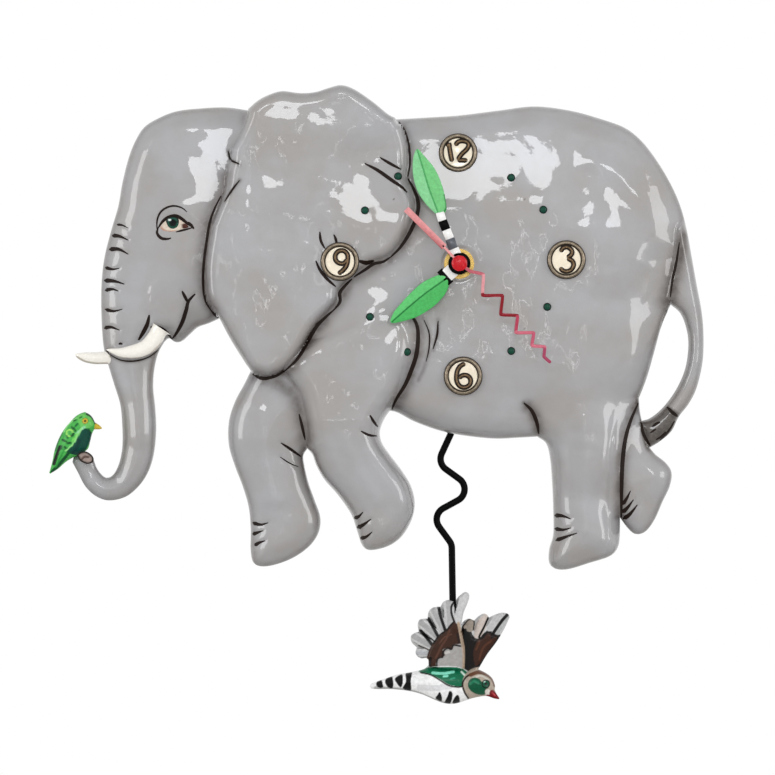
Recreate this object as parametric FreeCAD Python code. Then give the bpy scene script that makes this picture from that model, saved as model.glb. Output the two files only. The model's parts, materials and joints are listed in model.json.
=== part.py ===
import FreeCAD, Part
import math
import os

# Elephant wall clock with a swinging bird pendulum.
# The clock hangs on a wall. X runs to the viewer's right, Z up, and the front looks along -Y.
# The origin is the centre of the hanger's round hole, on the wall plane.
# Every depth is a distance from the wall, positive towards the viewer, in millimetres.

V = FreeCAD.Vector

# Overall size, and the photograph's pixels that give the outlines
ELEPHANT_LENGTH = 266.0
ELEPHANT_LENGTH_PIXELS = 605
DIAL_CENTRE_PIXEL = (459, 264)
HANGER_TO_SHAFT = 40.0
MM_PER_PIXEL = ELEPHANT_LENGTH / ELEPHANT_LENGTH_PIXELS

# Fits shared by all pieces
RUNNING_CLEARANCE = 0.05
SEAT_CLEARANCE = 0.15
OVERRUN = 1.0

# Cast resin relief
CAST_BACK = 14.0
CAST_EDGE = 4.5
EDGE_ROLL = 9.0
DOME_RIM_SHARE = 0.75
DOME_REACH = 50.0
EAR_ROLL = 5.0
RELIEF_GRID = 4.0
OUTLINE_STEP = 2.0
EAR_GRID = 3.0
EAR_DEPTH = 23.5
EAR_EDGE = 16.0
FORELEG_DEPTH = 22.0
FORELEG_FOOT_DEPTH = 16.5
FORELEG_EDGE = 9.0
FORELEG_ROLL = 7.0
FORELEG_KNEE_PIXEL = (350, 420)
FORELEG_FOOT_PIXEL = (390, 545)

# Depth of the relief at chosen places of the photograph: (pixel x, pixel y), share of TORSO_DEPTH
TORSO_DEPTH = 20.0
DEPTH_SPOT_PIXELS_SHARES = [
    ((459, 264), 1.0), ((459, 330), 1.0), ((520, 200), 1.0), ((520, 330), 1.0), ((400, 200), 1.0),
    ((600, 250), 1.0), ((600, 350), 1.0), ((590, 450), 1.0), ((585, 540), 0.94), ((400, 350), 1.0),
    ((180, 150), 0.84), ((190, 230), 0.88), ((170, 300), 0.86), ((130, 300), 0.74), ((130, 360), 0.68),
    ((138, 420), 0.7), ((135, 470), 0.64), ((105, 490), 0.56), ((80, 470), 0.5), ((270, 420), 0.84),
    ((270, 480), 0.8), ((285, 530), 0.74), ((350, 420), 0.96), ((645, 470), 0.7), ((640, 515), 0.66),
    ((690, 280), 0.66), ((697, 340), 0.58), ((692, 390), 0.56), ((662, 428), 0.56), ((300, 250), 0.92),
]

# Movement, a 56 mm square quartz clock movement with a pendulum drive behind it
CASE_WIDTH = 56.0
CASE_DEPTH = 16.6
CASE_WALL = 1.2
COVER_THICKNESS = 1.2
PARTITION_WALL = 0.8
POCKET_CLEARANCE = 0.5
RUBBER_WASHER_THICKNESS = 0.8
RUBBER_WASHER_RADIUS = 9.0
SCREW_RADIUS = 1.0
SCREW_HEAD_RADIUS = 1.9
SCREW_HEAD_HEIGHT = 0.9
PILLAR_RADIUS = 1.8
SCREW_DEPTH = 6.0
COVER_SCREW_SPOTS = [(24.6, 24.6), (24.6, -24.6), (-8.8, 24.6), (-8.8, -24.6)]
BRIDGE_SCREW_SPOTS = [(-7.6, 12.6), (-8.6, -12.4), (19.4, -10.6)]
BRIDGE_MARGIN = 2.2

# Hanger plate with its keyhole, and the pendulum housing it carries
PLATE_THICKNESS = 1.2
PLATE_WIDTH = 18.0
PLATE_TOP = 11.0
PLATE_BOTTOM = 24.0
PLATE_CORNER = 4.0
KEYHOLE_RADIUS = 4.0
KEYHOLE_SLOT_WIDTH = 4.0
KEYHOLE_SLOT_RISE = 6.5
HOUSING_DEPTH = 11.2
HOUSING_WIDTH = 21.0
HOUSING_TOP = 9.8
HOUSING_HEIGHT = 30.0
HOUSING_WALL = 1.2
HOUSING_BOSS_RADIUS = 1.7
HOUSING_BOSS_INSET = 3.1
PLATE_SCREW_DROP = 18.5
PLATE_SCREW_SPREAD = 12.0
PLATE_SCREW_LENGTH = 6.0

# Pendulum
PIVOT_DROP = 15.0
PIVOT_RADIUS = 0.75
SWING_DEGREES = 6.0
ARM_BACK = 5.8
ARM_THICKNESS = 1.4
ARM_WIDTH = 4.0
ARM_HUB_RADIUS = 2.2
ARM_HUB_OVERHANG = 0.8
ARM_LENGTH = 61.0
ARM_EYE_RING = 3.6
MAGNET_RADIUS = 3.0
MAGNET_THICKNESS = 1.0
MAGNET_DROP_SHARE = 0.633
DRIVE_COIL_RADIUS = 5.0
DRIVE_COIL_BORE = 1.5
DRIVE_GAP = 0.6
ROD_RADIUS = 1.5
ROD_DEPTH = 9.2
ROD_HOOK_REACH = 1.4
ROD_HOOK_BEND = 2.0
ROD_BEND = 5.6
EYE_CLEARANCE = 0.2

# Flying bird on the pendulum, and the perched bird and tusks on the elephant
BOB_BACK = 4.6
BOB_DEPTH = 10.0
BOB_EDGE = 2.4
BOB_ROLL = 5.0
BOB_GRID = 1.6
BOB_OUTLINE_STEP = 0.8
BOB_DEPTH_SPOT_PIXELS_SHARES = [
    ((392, 684), 0.6), ((420, 686), 0.9), ((445, 690), 1.0), ((460, 690), 1.0), ((480, 688), 1.0),
    ((494, 697), 0.55), ((445, 660), 0.76), ((440, 630), 0.66), ((420, 640), 0.6), ((462, 605), 0.6),
    ((455, 625), 0.66), ((478, 650), 0.62), ((490, 625), 0.56), ((505, 620), 0.54), ((430, 612), 0.58),
]
PERCHED_BIRD_BACK = 15.6
PERCHED_BIRD_DEPTH = 11.5
PERCHED_BIRD_EDGE = 3.2
PERCHED_BIRD_ROLL = 5.0
PERCHED_BIRD_GRID = 1.6
NEAR_TUSK_BACK = 22.0
NEAR_TUSK_DEPTH = 11.0
FAR_TUSK_BACK = 16.5
FAR_TUSK_DEPTH = 6.5
TUSK_EDGE = 2.6
TUSK_ROLL = 2.8
TUSK_GRID = 1.6
SMALL_OUTLINE_STEP = 0.9

# Dial furniture
STUD_RADIUS = 8.5
STUD_HEIGHT = 2.6
STUD_RIM_WIDTH = 1.9
STUD_RECESS = 0.9
STUD_BOSS_MARGIN = 0.8
STUD_SINK = 0.8
DOT_RADIUS = 1.8
DOT_HEIGHT = 1.4
DOT_SINK = 0.35
DOT_BOSS_MARGIN = 0.5
DOT_PEG_RADIUS = 0.8
DOT_PEG_LENGTH = 2.0
NUMERAL_PIXELS = {"12": (458, 153), "3": (566, 260), "6": (463, 376), "9": (340, 262)}
DOT_PIXELS = [
    (511, 178), (543, 210), (547, 307), (511, 351), (407, 352), (370, 317), (365, 211), (398, 177),
]

# Centre post and hands
BUSHING_RADIUS = 4.0
BUSHING_LENGTH = 9.0
BUSHING_FLANGE_RADIUS = 5.0
BUSHING_FLANGE = 0.6
BRASS_WASHER_RADIUS = 6.6
BRASS_WASHER_THICKNESS = 0.5
NUT_ACROSS_FLATS = 11.4
NUT_THICKNESS = 2.4
NUT_SPOTFACE_RADIUS = 7.2
NUT_SPOTFACE_DEPTH = 0.3
HOUR_TUBE_RADIUS = 2.5
MINUTE_TUBE_RADIUS = 1.5
SECONDS_ARBOR_RADIUS = 0.5
HAND_THICKNESS = 0.5
HUB_THICKNESS = 1.4
HUB_GAP = 0.7
HOUR_HUB_RADIUS = 4.6
MINUTE_HUB_RADIUS = 4.9
SECONDS_HUB_RADIUS = 1.3
CAP_RADIUS = 3.5
CAP_THICKNESS = 1.3
CAP_CROWN = 0.4
HAND_STEM_WIDTH = 3.8
SECOND_TAIL_TIP_WIDTH = 2.4
SECOND_TAIL_ROOT_WIDTH = 1.6
ZIGZAG_LINE_WIDTH = 1.2

# Gears: teeth and centre distances
ARBOR_RADIUS = 0.45
MOTION_CENTRE_DISTANCE = 8.8
CANNON_TEETH = 10
MINUTE_WHEEL_TEETH = 30
MINUTE_PINION_TEETH = 8
HOUR_WHEEL_TEETH = 32
SETTING_TEETH = 24
THIRD_CENTRE_DISTANCE = 8.8
CENTRE_WHEEL_TEETH = 64
THIRD_PINION_TEETH = 8
THIRD_WHEEL_TEETH = 60
SECONDS_PINION_TEETH = 8
INTERMEDIATE_CENTRE_DISTANCE = 8.75
SECONDS_WHEEL_TEETH = 60
INTERMEDIATE_PINION_TEETH = 10
ROTOR_CENTRE_DISTANCE = 9.0
INTERMEDIATE_WHEEL_TEETH = 60
ROTOR_PINION_TEETH = 12
MINUTE_WHEEL_DIRECTION = -90.0
SETTING_DIRECTION = -20.0
THIRD_DIRECTION = 70.0
INTERMEDIATE_DIRECTION = 5.0
ROTOR_DIRECTION = 40.0
WHEEL_THICKNESS = 0.7
PINION_OVERHANG = 0.4
LAYER_PITCH = 1.85
FIRST_LAYER_SHARE = 0.55
MOTION_LAYER_SHARE = 1.25
BRIDGE_GAP = 0.4
BRIDGE_THICKNESS = 1.0
PIVOT_HOLE_DEPTH = 0.6
END_SHAKE = 0.2
KNOB_RADIUS = 4.0
KNOB_THICKNESS = 3.4
KNOB_GAP = 0.4
KNOB_STEM_RADIUS = 1.5
KNOB_GRIPS = 18
KNOB_GRIP_RADIUS = 0.45
MINUTE_STUD_RADIUS = 0.7
HUB_WALL = 0.55
CLUTCH_RADIUS = 2.6

# Tooth form, as shares of the pitch angle and of the module
TOOTH_ROOT_SHARE = 0.29
TOOTH_TIP_SHARE = 0.11
ADDENDUM_SHARE = 0.78
DEDENDUM_SHARE = 1.2

# Motor, board and battery
ROTOR_MAGNET_RADIUS = 2.4
ROTOR_MAGNET_THICKNESS = 3.0
STATOR_THICKNESS = 1.0
STATOR_WIDTH = 8.0
STATOR_ARM = 4.0
STATOR_GAP = 0.4
STATOR_RISE = 13.0
STATOR_FALL = 12.6
MOTOR_COIL_RADIUS = 3.2
MOTOR_COIL_OFFSET = 7.6
CORE_WIDTH = 2.0
BOARD_WIDTH = 8.0
BOARD_HEIGHT = 12.0
BOARD_THICKNESS = 1.0
BOARD_RIGHT_GAP = 5.0
BOARD_BOTTOM_GAP = 1.0
BOARD_POST_RADIUS = 1.6
CHIP_RADIUS = 2.0
CRYSTAL_RADIUS = 1.0
CRYSTAL_LENGTH = 6.0
BATTERY_RADIUS = 7.1
BATTERY_LENGTH = 49.0
BATTERY_NUB_RADIUS = 2.6
BATTERY_NUB_LENGTH = 1.2
BATTERY_OFFSET = 19.2
BATTERY_REAR_REACH = 0.5
CONTACT_THICKNESS = 0.5
CONTACT_WIDTH = 9.0
CONTACT_DEPTH = 8.0
CONTACT_BOSS_RADIUS = 2.6
CONTACT_GAP = 0.1

# Levels, counted from the wall
HOUSING_BACK = PLATE_THICKNESS
CASE_REAR = HOUSING_BACK + HOUSING_DEPTH
COVER_FRONT = CASE_REAR + COVER_THICKNESS
CASE_FRONT = CASE_REAR + CASE_DEPTH
CASE_INSIDE_FRONT = CASE_FRONT - CASE_WALL
POCKET_FLOOR = CASE_FRONT + RUBBER_WASHER_THICKNESS
DIAL_FACE = CAST_BACK + TORSO_DEPTH - NUT_SPOTFACE_DEPTH
NUT_BACK = DIAL_FACE + BRASS_WASHER_THICKNESS
NUT_FRONT = NUT_BACK + NUT_THICKNESS
BUSHING_END = CASE_FRONT + BUSHING_LENGTH
HOUR_HUB_BACK = BUSHING_END + HUB_GAP
HOUR_HUB_FRONT = HOUR_HUB_BACK + HUB_THICKNESS
MINUTE_HUB_BACK = HOUR_HUB_FRONT + HUB_GAP
MINUTE_HUB_FRONT = MINUTE_HUB_BACK + HUB_THICKNESS
SECONDS_HUB_BACK = MINUTE_HUB_FRONT + HUB_GAP
SECONDS_HUB_FRONT = SECONDS_HUB_BACK + HUB_THICKNESS
BRIDGE_BACK = COVER_FRONT + BRIDGE_GAP
BRIDGE_FRONT = BRIDGE_BACK + BRIDGE_THICKNESS
ARBOR_REAR = BRIDGE_BACK + END_SHAKE
ARBOR_FRONT = CASE_INSIDE_FRONT + PIVOT_HOLE_DEPTH - END_SHAKE
ROTOR_LAYER = BRIDGE_FRONT + FIRST_LAYER_SHARE * LAYER_PITCH
SECONDS_LAYER = ROTOR_LAYER + LAYER_PITCH
THIRD_LAYER = SECONDS_LAYER + LAYER_PITCH
CENTRE_LAYER = THIRD_LAYER + LAYER_PITCH
MOTION_LAYER = CENTRE_LAYER + MOTION_LAYER_SHARE * LAYER_PITCH
HOUR_LAYER = MOTION_LAYER + LAYER_PITCH
PIVOT_HEIGHT = -PIVOT_DROP
HALF_CASE = CASE_WIDTH / 2
SHAFT = (0.0, -HANGER_TO_SHAFT)


# Outlines traced on the photograph. Each outline is a ring of spans, and each span a smooth curve.
CASTING_SPANS_PIXELS = [
    [(248, 109), (257, 101), (268, 95), (282, 91), (300, 93), (315, 92), (328, 88), (341, 85), (354, 89),
     (372, 101), (388, 114), (396, 118)],
    [(396, 118), (430, 116), (460, 114), (500, 109), (535, 105), (570, 109), (600, 117), (625, 126),
     (641, 138), (655, 155), (670, 179), (681, 203), (688, 228), (693, 255), (698, 283), (703, 310),
     (705, 335), (704, 362), (698, 388), (690, 404), (680, 417), (673, 431), (662, 441), (651, 448)],
    [(651, 448), (657, 455), (667, 463), (673, 473), (671, 487), (664, 502), (656, 520), (647, 532),
     (637, 535), (629, 529), (621, 518)],
    [(621, 518), (621, 535), (619, 548), (611, 557), (590, 564), (570, 570), (557, 570), (550, 564),
     (550, 550), (554, 535), (554, 510), (553, 485), (551, 460), (547, 444), (538, 437)],
    [(538, 437), (520, 438), (495, 439), (465, 436), (440, 431), (415, 422), (398, 413), (390, 411)],
    [(390, 411), (384, 420), (380, 432), (382, 443), (390, 455), (402, 471), (411, 486), (415, 503),
     (412, 520), (402, 537), (388, 547), (370, 551), (362, 546), (357, 532), (351, 515), (338, 496),
     (324, 480), (316, 466), (312, 455), (307, 449)],
    [(307, 449), (303, 456), (304, 466), (308, 483), (314, 500), (320, 518), (318, 534), (308, 548),
     (290, 560), (268, 567), (254, 565), (250, 552), (250, 530), (248, 508), (242, 487), (234, 466),
     (228, 445), (228, 422), (234, 402), (243, 385), (250, 371)],
    [(250, 371), (240, 355), (229, 337), (219, 318)],
    [(219, 318), (208, 323), (197, 327), (189, 334), (181, 341), (174, 342), (168, 338), (163, 342)],
    [(163, 342), (157, 353), (153, 370), (152, 388), (154, 408), (155, 430), (153, 452), (148, 470),
     (139, 485), (125, 497), (108, 501), (95, 497), (84, 487), (76, 472), (69, 459)],
    [(69, 459), (76, 455), (86, 454), (92, 460)],
    [(92, 460), (96, 470), (104, 478), (112, 475), (118, 463), (121, 447), (121, 428), (119, 405),
     (113, 385), (107, 365), (102, 345), (100, 315), (100, 285), (103, 257), (110, 229), (117, 205),
     (121, 182), (127, 158), (133, 142), (142, 127), (155, 118), (175, 110), (200, 107), (225, 106),
     (248, 109)],
]
TAIL_GAP_SPANS_PIXELS = [
    [(672, 304), (682, 313), (688, 328), (690, 345), (687, 368), (678, 389), (665, 407), (652, 418),
     (643, 421)],
    [(643, 421), (641, 411), (640, 398)],
    [(640, 398), (648, 378), (656, 350), (663, 325), (672, 304)],
]
EAR_SPANS_PIXELS = [
    [(248, 109), (257, 101), (268, 95), (282, 91), (300, 93), (315, 92), (328, 88), (341, 85), (354, 89),
     (372, 101), (388, 114), (396, 118)],
    [(396, 118), (403, 129), (408, 146), (409, 164), (408, 178), (413, 190), (416, 204), (413, 222),
     (405, 240), (393, 253), (380, 261), (366, 265), (354, 274), (343, 284), (339, 297), (333, 308),
     (318, 322), (308, 336), (300, 352), (289, 366), (276, 374), (263, 376), (250, 371)],
    [(250, 371), (240, 355), (229, 337), (219, 318)],
    [(219, 318), (211, 306), (207, 290), (206, 268), (208, 244), (213, 222), (221, 204), (227, 186),
     (228, 170), (231, 152), (238, 134), (248, 109)],
]
FORELEG_SPANS_PIXELS = [
    [(390, 411), (384, 420), (380, 432), (382, 443), (390, 455), (402, 471), (411, 486), (415, 503),
     (412, 520), (402, 537), (388, 547), (370, 551), (362, 546), (357, 532), (351, 515), (338, 496),
     (324, 480), (316, 466), (312, 455), (307, 449)],
    [(307, 449), (305, 432), (300, 412), (294, 396), (288, 384)],
    [(288, 384), (300, 352), (320, 330), (350, 312), (380, 304), (402, 308)],
    [(402, 308), (413, 318), (417, 335), (415, 355), (408, 378), (399, 397), (390, 411)],
]
NEAR_TUSK_SPANS_PIXELS = [
    [(150, 327), (148, 333), (141, 341), (131, 346), (120, 348), (112, 348), (106, 349)],
    [(106, 349), (113, 354), (124, 358), (137, 358), (149, 354), (159, 346), (166, 336)],
    [(166, 336), (162, 330), (157, 327), (150, 327)],
]
FAR_TUSK_SPANS_PIXELS = [
    [(110, 350), (96, 352), (86, 352), (78, 353), (74, 354)],
    [(74, 354), (77, 358), (85, 362), (95, 364), (110, 364)],
    [(110, 364), (110, 350)],
]
PERCHED_BIRD_SPANS_PIXELS = [
    [(100, 427), (96, 423), (93, 418), (89, 414), (83, 412), (77, 415), (70, 421), (63, 429), (57, 438),
     (54, 449), (52, 461), (50, 469), (48, 474)],
    [(48, 474), (55, 470), (61, 465), (66, 460), (70, 455)],
    [(70, 455), (76, 461), (84, 464), (91, 462), (92, 457), (86, 450)],
    [(86, 450), (89, 442), (90, 435), (95, 431), (100, 427)],
]
FLYING_BIRD_SPANS_PIXELS = [
    [(372, 689), (384, 683), (398, 678), (412, 675), (424, 672), (429, 668)],
    [(429, 668), (428, 661), (421, 661), (416, 656), (417, 650)],
    [(417, 650), (412, 645), (411, 639), (414, 636), (419, 634)],
    [(419, 634), (418, 627), (420, 622), (425, 621), (428, 621)],
    [(428, 621), (429, 614), (433, 610), (438, 609), (441, 609)],
    [(441, 609), (444, 604), (449, 602), (453, 603), (456, 603)],
    [(456, 603), (460, 598), (466, 594), (470, 597), (468, 605), (464, 615), (462, 627)],
    [(462, 627), (465, 623), (470, 621), (475, 623)],
    [(475, 623), (479, 619), (484, 616), (488, 617), (490, 620)],
    [(490, 620), (496, 617), (503, 615), (509, 616), (511, 619)],
    [(511, 619), (505, 632), (497, 645), (488, 657), (479, 672)],
    [(479, 672), (487, 676), (493, 681), (496, 688), (496, 693), (499, 700)],
    [(499, 700), (492, 699), (485, 698), (474, 700), (464, 704), (454, 707), (444, 706), (434, 702),
     (423, 697), (410, 693), (392, 691), (372, 689)],
]
HOUR_LEAF_SPANS_PIXELS = [
    [(391, 323), (393, 314), (399, 306), (409, 295), (421, 284), (434, 277), (443, 275)],
    [(443, 275), (449, 281)],
    [(449, 281), (448, 288), (443, 297), (433, 307), (419, 316), (405, 321), (391, 323)],
]
MINUTE_LEAF_SPANS_PIXELS = [
    [(417, 150), (426, 159), (435, 170), (441, 184), (445, 199), (445, 213)],
    [(445, 213), (437, 216)],
    [(437, 216), (426, 205), (417, 192), (413, 176), (413, 161), (417, 150)],
]
SECOND_TAIL_PIXELS = [(459, 264), (406, 210)]
ZIGZAG_PIXELS = [
    (459, 264), (470, 272), (483, 275), (482, 296), (502, 296), (500, 315), (517, 316), (515, 333),
    (533, 333), (531, 346), (544, 347), (543, 357), (550, 363),
]
ROD_CORNERS_PIXELS = [(455.6, 425), (437.8, 463.7), (476.3, 491.6), (431, 516.3), (452.3, 545.5),
                      (453.5, 618)]


# Small tools for places, plates and turned pieces

def place(pixel):
    """The row-frame (x, z) of a pixel of the photograph."""
    x = (pixel[0] - DIAL_CENTRE_PIXEL[0]) * MM_PER_PIXEL
    z = (DIAL_CENTRE_PIXEL[1] - pixel[1]) * MM_PER_PIXEL - HANGER_TO_SHAFT
    return (x, z)


def polar(centre, distance, degrees):
    """The point at a distance from centre, at an angle counted from +X towards +Z."""
    angle = math.radians(degrees)
    return (centre[0] + distance * math.cos(angle), centre[1] + distance * math.sin(angle))


def point(xz, depth):
    """The 3-D point at (x, z), depth millimetres in front of the wall."""
    return V(xz[0], -depth, xz[1])


def disc(radius, back, front, centre):
    """A cylinder along Y from one depth to another."""
    return Part.makeCylinder(radius, front - back, point(centre, back), V(0, -1, 0))


def ring(outer, inner, back, front, centre):
    """A washer or tube along Y."""
    bore = disc(inner, back - OVERRUN, front + OVERRUN, centre)
    return disc(outer, back, front, centre).cut(bore)


def block(left, right, back, front, bottom, top):
    """A box between two depths."""
    return Part.makeBox(right - left, front - back, top - bottom, V(left, -front, bottom))


def plate(wire, back, front):
    """A flat wire at depth zero, raised into a plate between two depths."""
    face = Part.Face(wire)
    face.translate(V(0, -back, 0))
    return face.extrude(V(0, back - front, 0))


def polygon(corners):
    """A closed flat wire through (x, z) corners, at depth zero."""
    points = [point(corner, 0.0) for corner in corners]
    return Part.makePolygon(points + points[:1])


def countersunk_screw(head_face, tip, centre):
    """A screw driven from behind: its flat head lies at head_face and its tip at tip."""
    head = Part.makeCone(SCREW_HEAD_RADIUS, SCREW_RADIUS, SCREW_HEAD_HEIGHT, point(centre, head_face),
                         V(0, -1, 0))
    return head.fuse(disc(SCREW_RADIUS, head_face, tip, centre))


def save(shape, name):
    """Writes one sub-part."""
    shape.exportStep(os.path.join("parts", name + ".step"))
    print(name, "solids", len(shape.Solids), "volume", round(shape.Volume, 2), "valid", shape.isValid())


# Relief castings: an outline raised to a front whose edge rolls over like a quarter circle

def span_curve(pixels):
    """One span of an outline as a smooth edge, or a straight one between two points."""
    points = [point(place(pixel), 0.0) for pixel in pixels]
    if len(points) == 2:
        return Part.makeLine(points[0], points[1])
    curve = Part.BSplineCurve()
    curve.interpolate(points)
    return curve.toShape()


def outline_wire(spans):
    """The closed wire of an outline's spans."""
    return Part.Wire([span_curve(span) for span in spans])


def sampled(spans, step):
    """Points along an outline's spans, about step apart, as (x, z)."""
    found = []
    for span in spans:
        edge = span_curve(span)
        count = max(2, int(edge.Length / step) + 1)
        found += [(p.x, p.z) for p in edge.discretize(count)[:-1]]
    return found


def edge_distance(x, z, ring_points):
    """How far (x, z) lies inside a ring of points, negative outside."""
    inside = False
    nearest = float("inf")
    px, pz = ring_points[-1]
    for qx, qz in ring_points:
        ex, ez = qx - px, qz - pz
        along = ((x - px) * ex + (z - pz) * ez) / (ex * ex + ez * ez)
        along = min(1.0, max(0.0, along))
        gap = (x - px - along * ex) ** 2 + (z - pz - along * ez) ** 2
        nearest = min(nearest, gap)
        if (pz > z) != (qz > z) and x < px + (z - pz) * ex / ez:
            inside = not inside
        px, pz = qx, qz
    return math.sqrt(nearest) if inside else -math.sqrt(nearest)


def spot_depth(x, z, spots, full_depth):
    """A depth blended from hand-chosen spots, the nearer ones counting more."""
    total = 0.0
    weights = 0.0
    for pixel, share in spots:
        sx, sz = place(pixel)
        gap = (x - sx) ** 2 + (z - sz) ** 2
        weight = 1.0 / (gap + MM_PER_PIXEL ** 2) ** 2
        total += weight * share * full_depth
        weights += weight
    return total / weights


def rolled(depth, edge, roll, distance):
    """The height at a distance from the outline: a quarter circle from edge up to depth."""
    if distance <= 0:
        return edge
    left = 1.0 - min(distance / roll, 1.0)
    return edge + (depth - edge) * math.sqrt(1.0 - left * left)


def domed(distance):
    """The share of its full depth that a broad dome has at a distance from the outline."""
    left = 1.0 - min(max(distance, 0.0) / DOME_REACH, 1.0)
    return 1.0 - (1.0 - DOME_RIM_SHARE) * left * left


def level(distance):
    """The share of its full depth that a form without a dome has: all of it."""
    return 1.0


class Relief:
    """A casting with a flat back, whose front height is a function of the distance from its outline."""

    def __init__(self, spans, back, depth_at, edge, roll, grid, step, holes=(), dome=level):
        self.spans = spans
        self.holes = holes
        self.back = back
        self.depth_at = depth_at
        self.dome = dome
        self.edge = edge
        self.roll = roll
        self.grid = grid
        self.rings = [sampled(spans, step)] + [sampled(hole, step) for hole in holes]

    def height(self, x, z):
        """How far the front stands off the flat back at (x, z)."""
        distance = edge_distance(x, z, self.rings[0])
        for hole in self.rings[1:]:
            distance = min(distance, -edge_distance(x, z, hole))
        return rolled(self.depth_at(x, z) * self.dome(distance), self.edge, self.roll, distance)

    def covers(self, x, z):
        """Whether (x, z) lies on the casting."""
        return edge_distance(x, z, self.rings[0]) > 0

    def front_surface(self):
        """A smooth surface whose control points carry the front's heights on a square grid."""
        xs = [p[0] for p in self.rings[0]]
        zs = [p[1] for p in self.rings[0]]
        left = min(xs) - 2 * self.grid
        low = min(zs) - 2 * self.grid
        columns = int((max(xs) - left) / self.grid) + 4
        rows = int((max(zs) - low) / self.grid) + 4
        poles = []
        for i in range(columns):
            x = left + i * self.grid
            poles.append([])
            for j in range(rows):
                z = low + j * self.grid
                poles[-1].append(point((x, z), self.back + self.height(x, z)))
        surface = Part.BSplineSurface()
        degree = 3
        knots = [list(range(count - degree + 1)) for count in (columns, rows)]
        mults = [[degree + 1] + [1] * (len(k) - 2) + [degree + 1] for k in knots]
        surface.buildFromPolesMultsKnots(poles, mults[0], mults[1], knots[0], knots[1], False, False,
                                         degree, degree)
        return surface.toShape()

    def solid(self):
        """The closed casting."""
        tall = max(self.depth_at(x, z) for x, z in self.rings[0])
        prism = plate(outline_wire(self.spans), self.back, self.back + 3 * tall)
        lid = self.front_surface().extrude(V(0, 4 * tall, 0))
        body = prism.common(lid)
        for hole in self.holes:
            body = body.cut(plate(outline_wire(hole), self.back - OVERRUN, self.back + 3 * tall))
        return body


class Casting:
    """The whole elephant: several reliefs on one back plane, fused."""

    def __init__(self):
        self.body = Relief(CASTING_SPANS_PIXELS, CAST_BACK, torso_depth, CAST_EDGE, EDGE_ROLL,
                           RELIEF_GRID, OUTLINE_STEP, [TAIL_GAP_SPANS_PIXELS], domed)
        self.ear = Relief(EAR_SPANS_PIXELS, CAST_BACK, ear_depth, EAR_EDGE, EAR_ROLL, EAR_GRID,
                          OUTLINE_STEP)
        self.foreleg = Relief(FORELEG_SPANS_PIXELS, CAST_BACK, foreleg_depth, FORELEG_EDGE,
                              FORELEG_ROLL, RELIEF_GRID, OUTLINE_STEP)

    def front(self, centre):
        """The depth of the front at a point, measured from the wall."""
        heights = [self.body.height(*centre)]
        for form in (self.ear, self.foreleg):
            if form.covers(*centre):
                heights.append(form.height(*centre))
        return CAST_BACK + max(heights)


def torso_depth(x, z):
    """How far the body, head, trunk and tail stand off the back."""
    return spot_depth(x, z, DEPTH_SPOT_PIXELS_SHARES, TORSO_DEPTH)


def ear_depth(x, z):
    """The ear is a level flap."""
    return EAR_DEPTH


def foreleg_depth(x, z):
    """The near foreleg stands proud at the knee and slims towards the foot."""
    knee = place(FORELEG_KNEE_PIXEL)[1]
    foot = place(FORELEG_FOOT_PIXEL)[1]
    share = min(1.0, max(0.0, (z - foot) / (knee - foot)))
    return FORELEG_FOOT_DEPTH + share * (FORELEG_DEPTH - FORELEG_FOOT_DEPTH)


def bob_depth(x, z):
    """The flying bird is thickest at its body and thin in its wings and tail."""
    return spot_depth(x, z, BOB_DEPTH_SPOT_PIXELS_SHARES, BOB_DEPTH)


# Bands, hands and bent rod

def band(points, widths):
    """A closed wire around a centreline, mitred at its corners."""
    left = []
    right = []
    for i, (x, z) in enumerate(points):
        ahead = points[min(i + 1, len(points) - 1)]
        behind = points[max(i - 1, 0)]
        out = unit(x, z, ahead) if i + 1 < len(points) else None
        come = unit(behind[0], behind[1], (x, z)) if i else out
        out = out or come
        mx, mz = come[0] + out[0], come[1] + out[1]
        size = math.hypot(mx, mz)
        mx, mz = mx / size, mz / size
        reach = widths[i] / 2 / (mx * out[0] + mz * out[1])
        left.append((x - mz * reach, z + mx * reach))
        right.append((x + mz * reach, z - mx * reach))
    return polygon(left + right[::-1])


def unit(x, z, target):
    """The direction from (x, z) to a target."""
    dx, dz = target[0] - x, target[1] - z
    size = math.hypot(dx, dz)
    return (dx / size, dz / size)


def hand(leaf_spans, hub_radius, bore, back, front):
    """A leaf-shaped hand: a collar on its tube, a flat stem and a flat leaf at the collar's front."""
    blade_back = front - HAND_THICKNESS
    leaf = plate(outline_wire(leaf_spans), blade_back, front)
    root = [place(p) for p in leaf_spans[1]]
    middle = ((root[0][0] + root[-1][0]) / 2, (root[0][1] + root[-1][1]) / 2)
    aim = unit(SHAFT[0], SHAFT[1], middle)
    end = (middle[0] + aim[0] * HAND_STEM_WIDTH / 2, middle[1] + aim[1] * HAND_STEM_WIDTH / 2)
    stem = plate(band([SHAFT, end], [HAND_STEM_WIDTH] * 2), blade_back, front)
    whole = disc(hub_radius, back, front, SHAFT).fuse([stem, leaf])
    return whole.cut(disc(bore, back - OVERRUN, front + OVERRUN, SHAFT)).removeSplitter()


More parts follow.
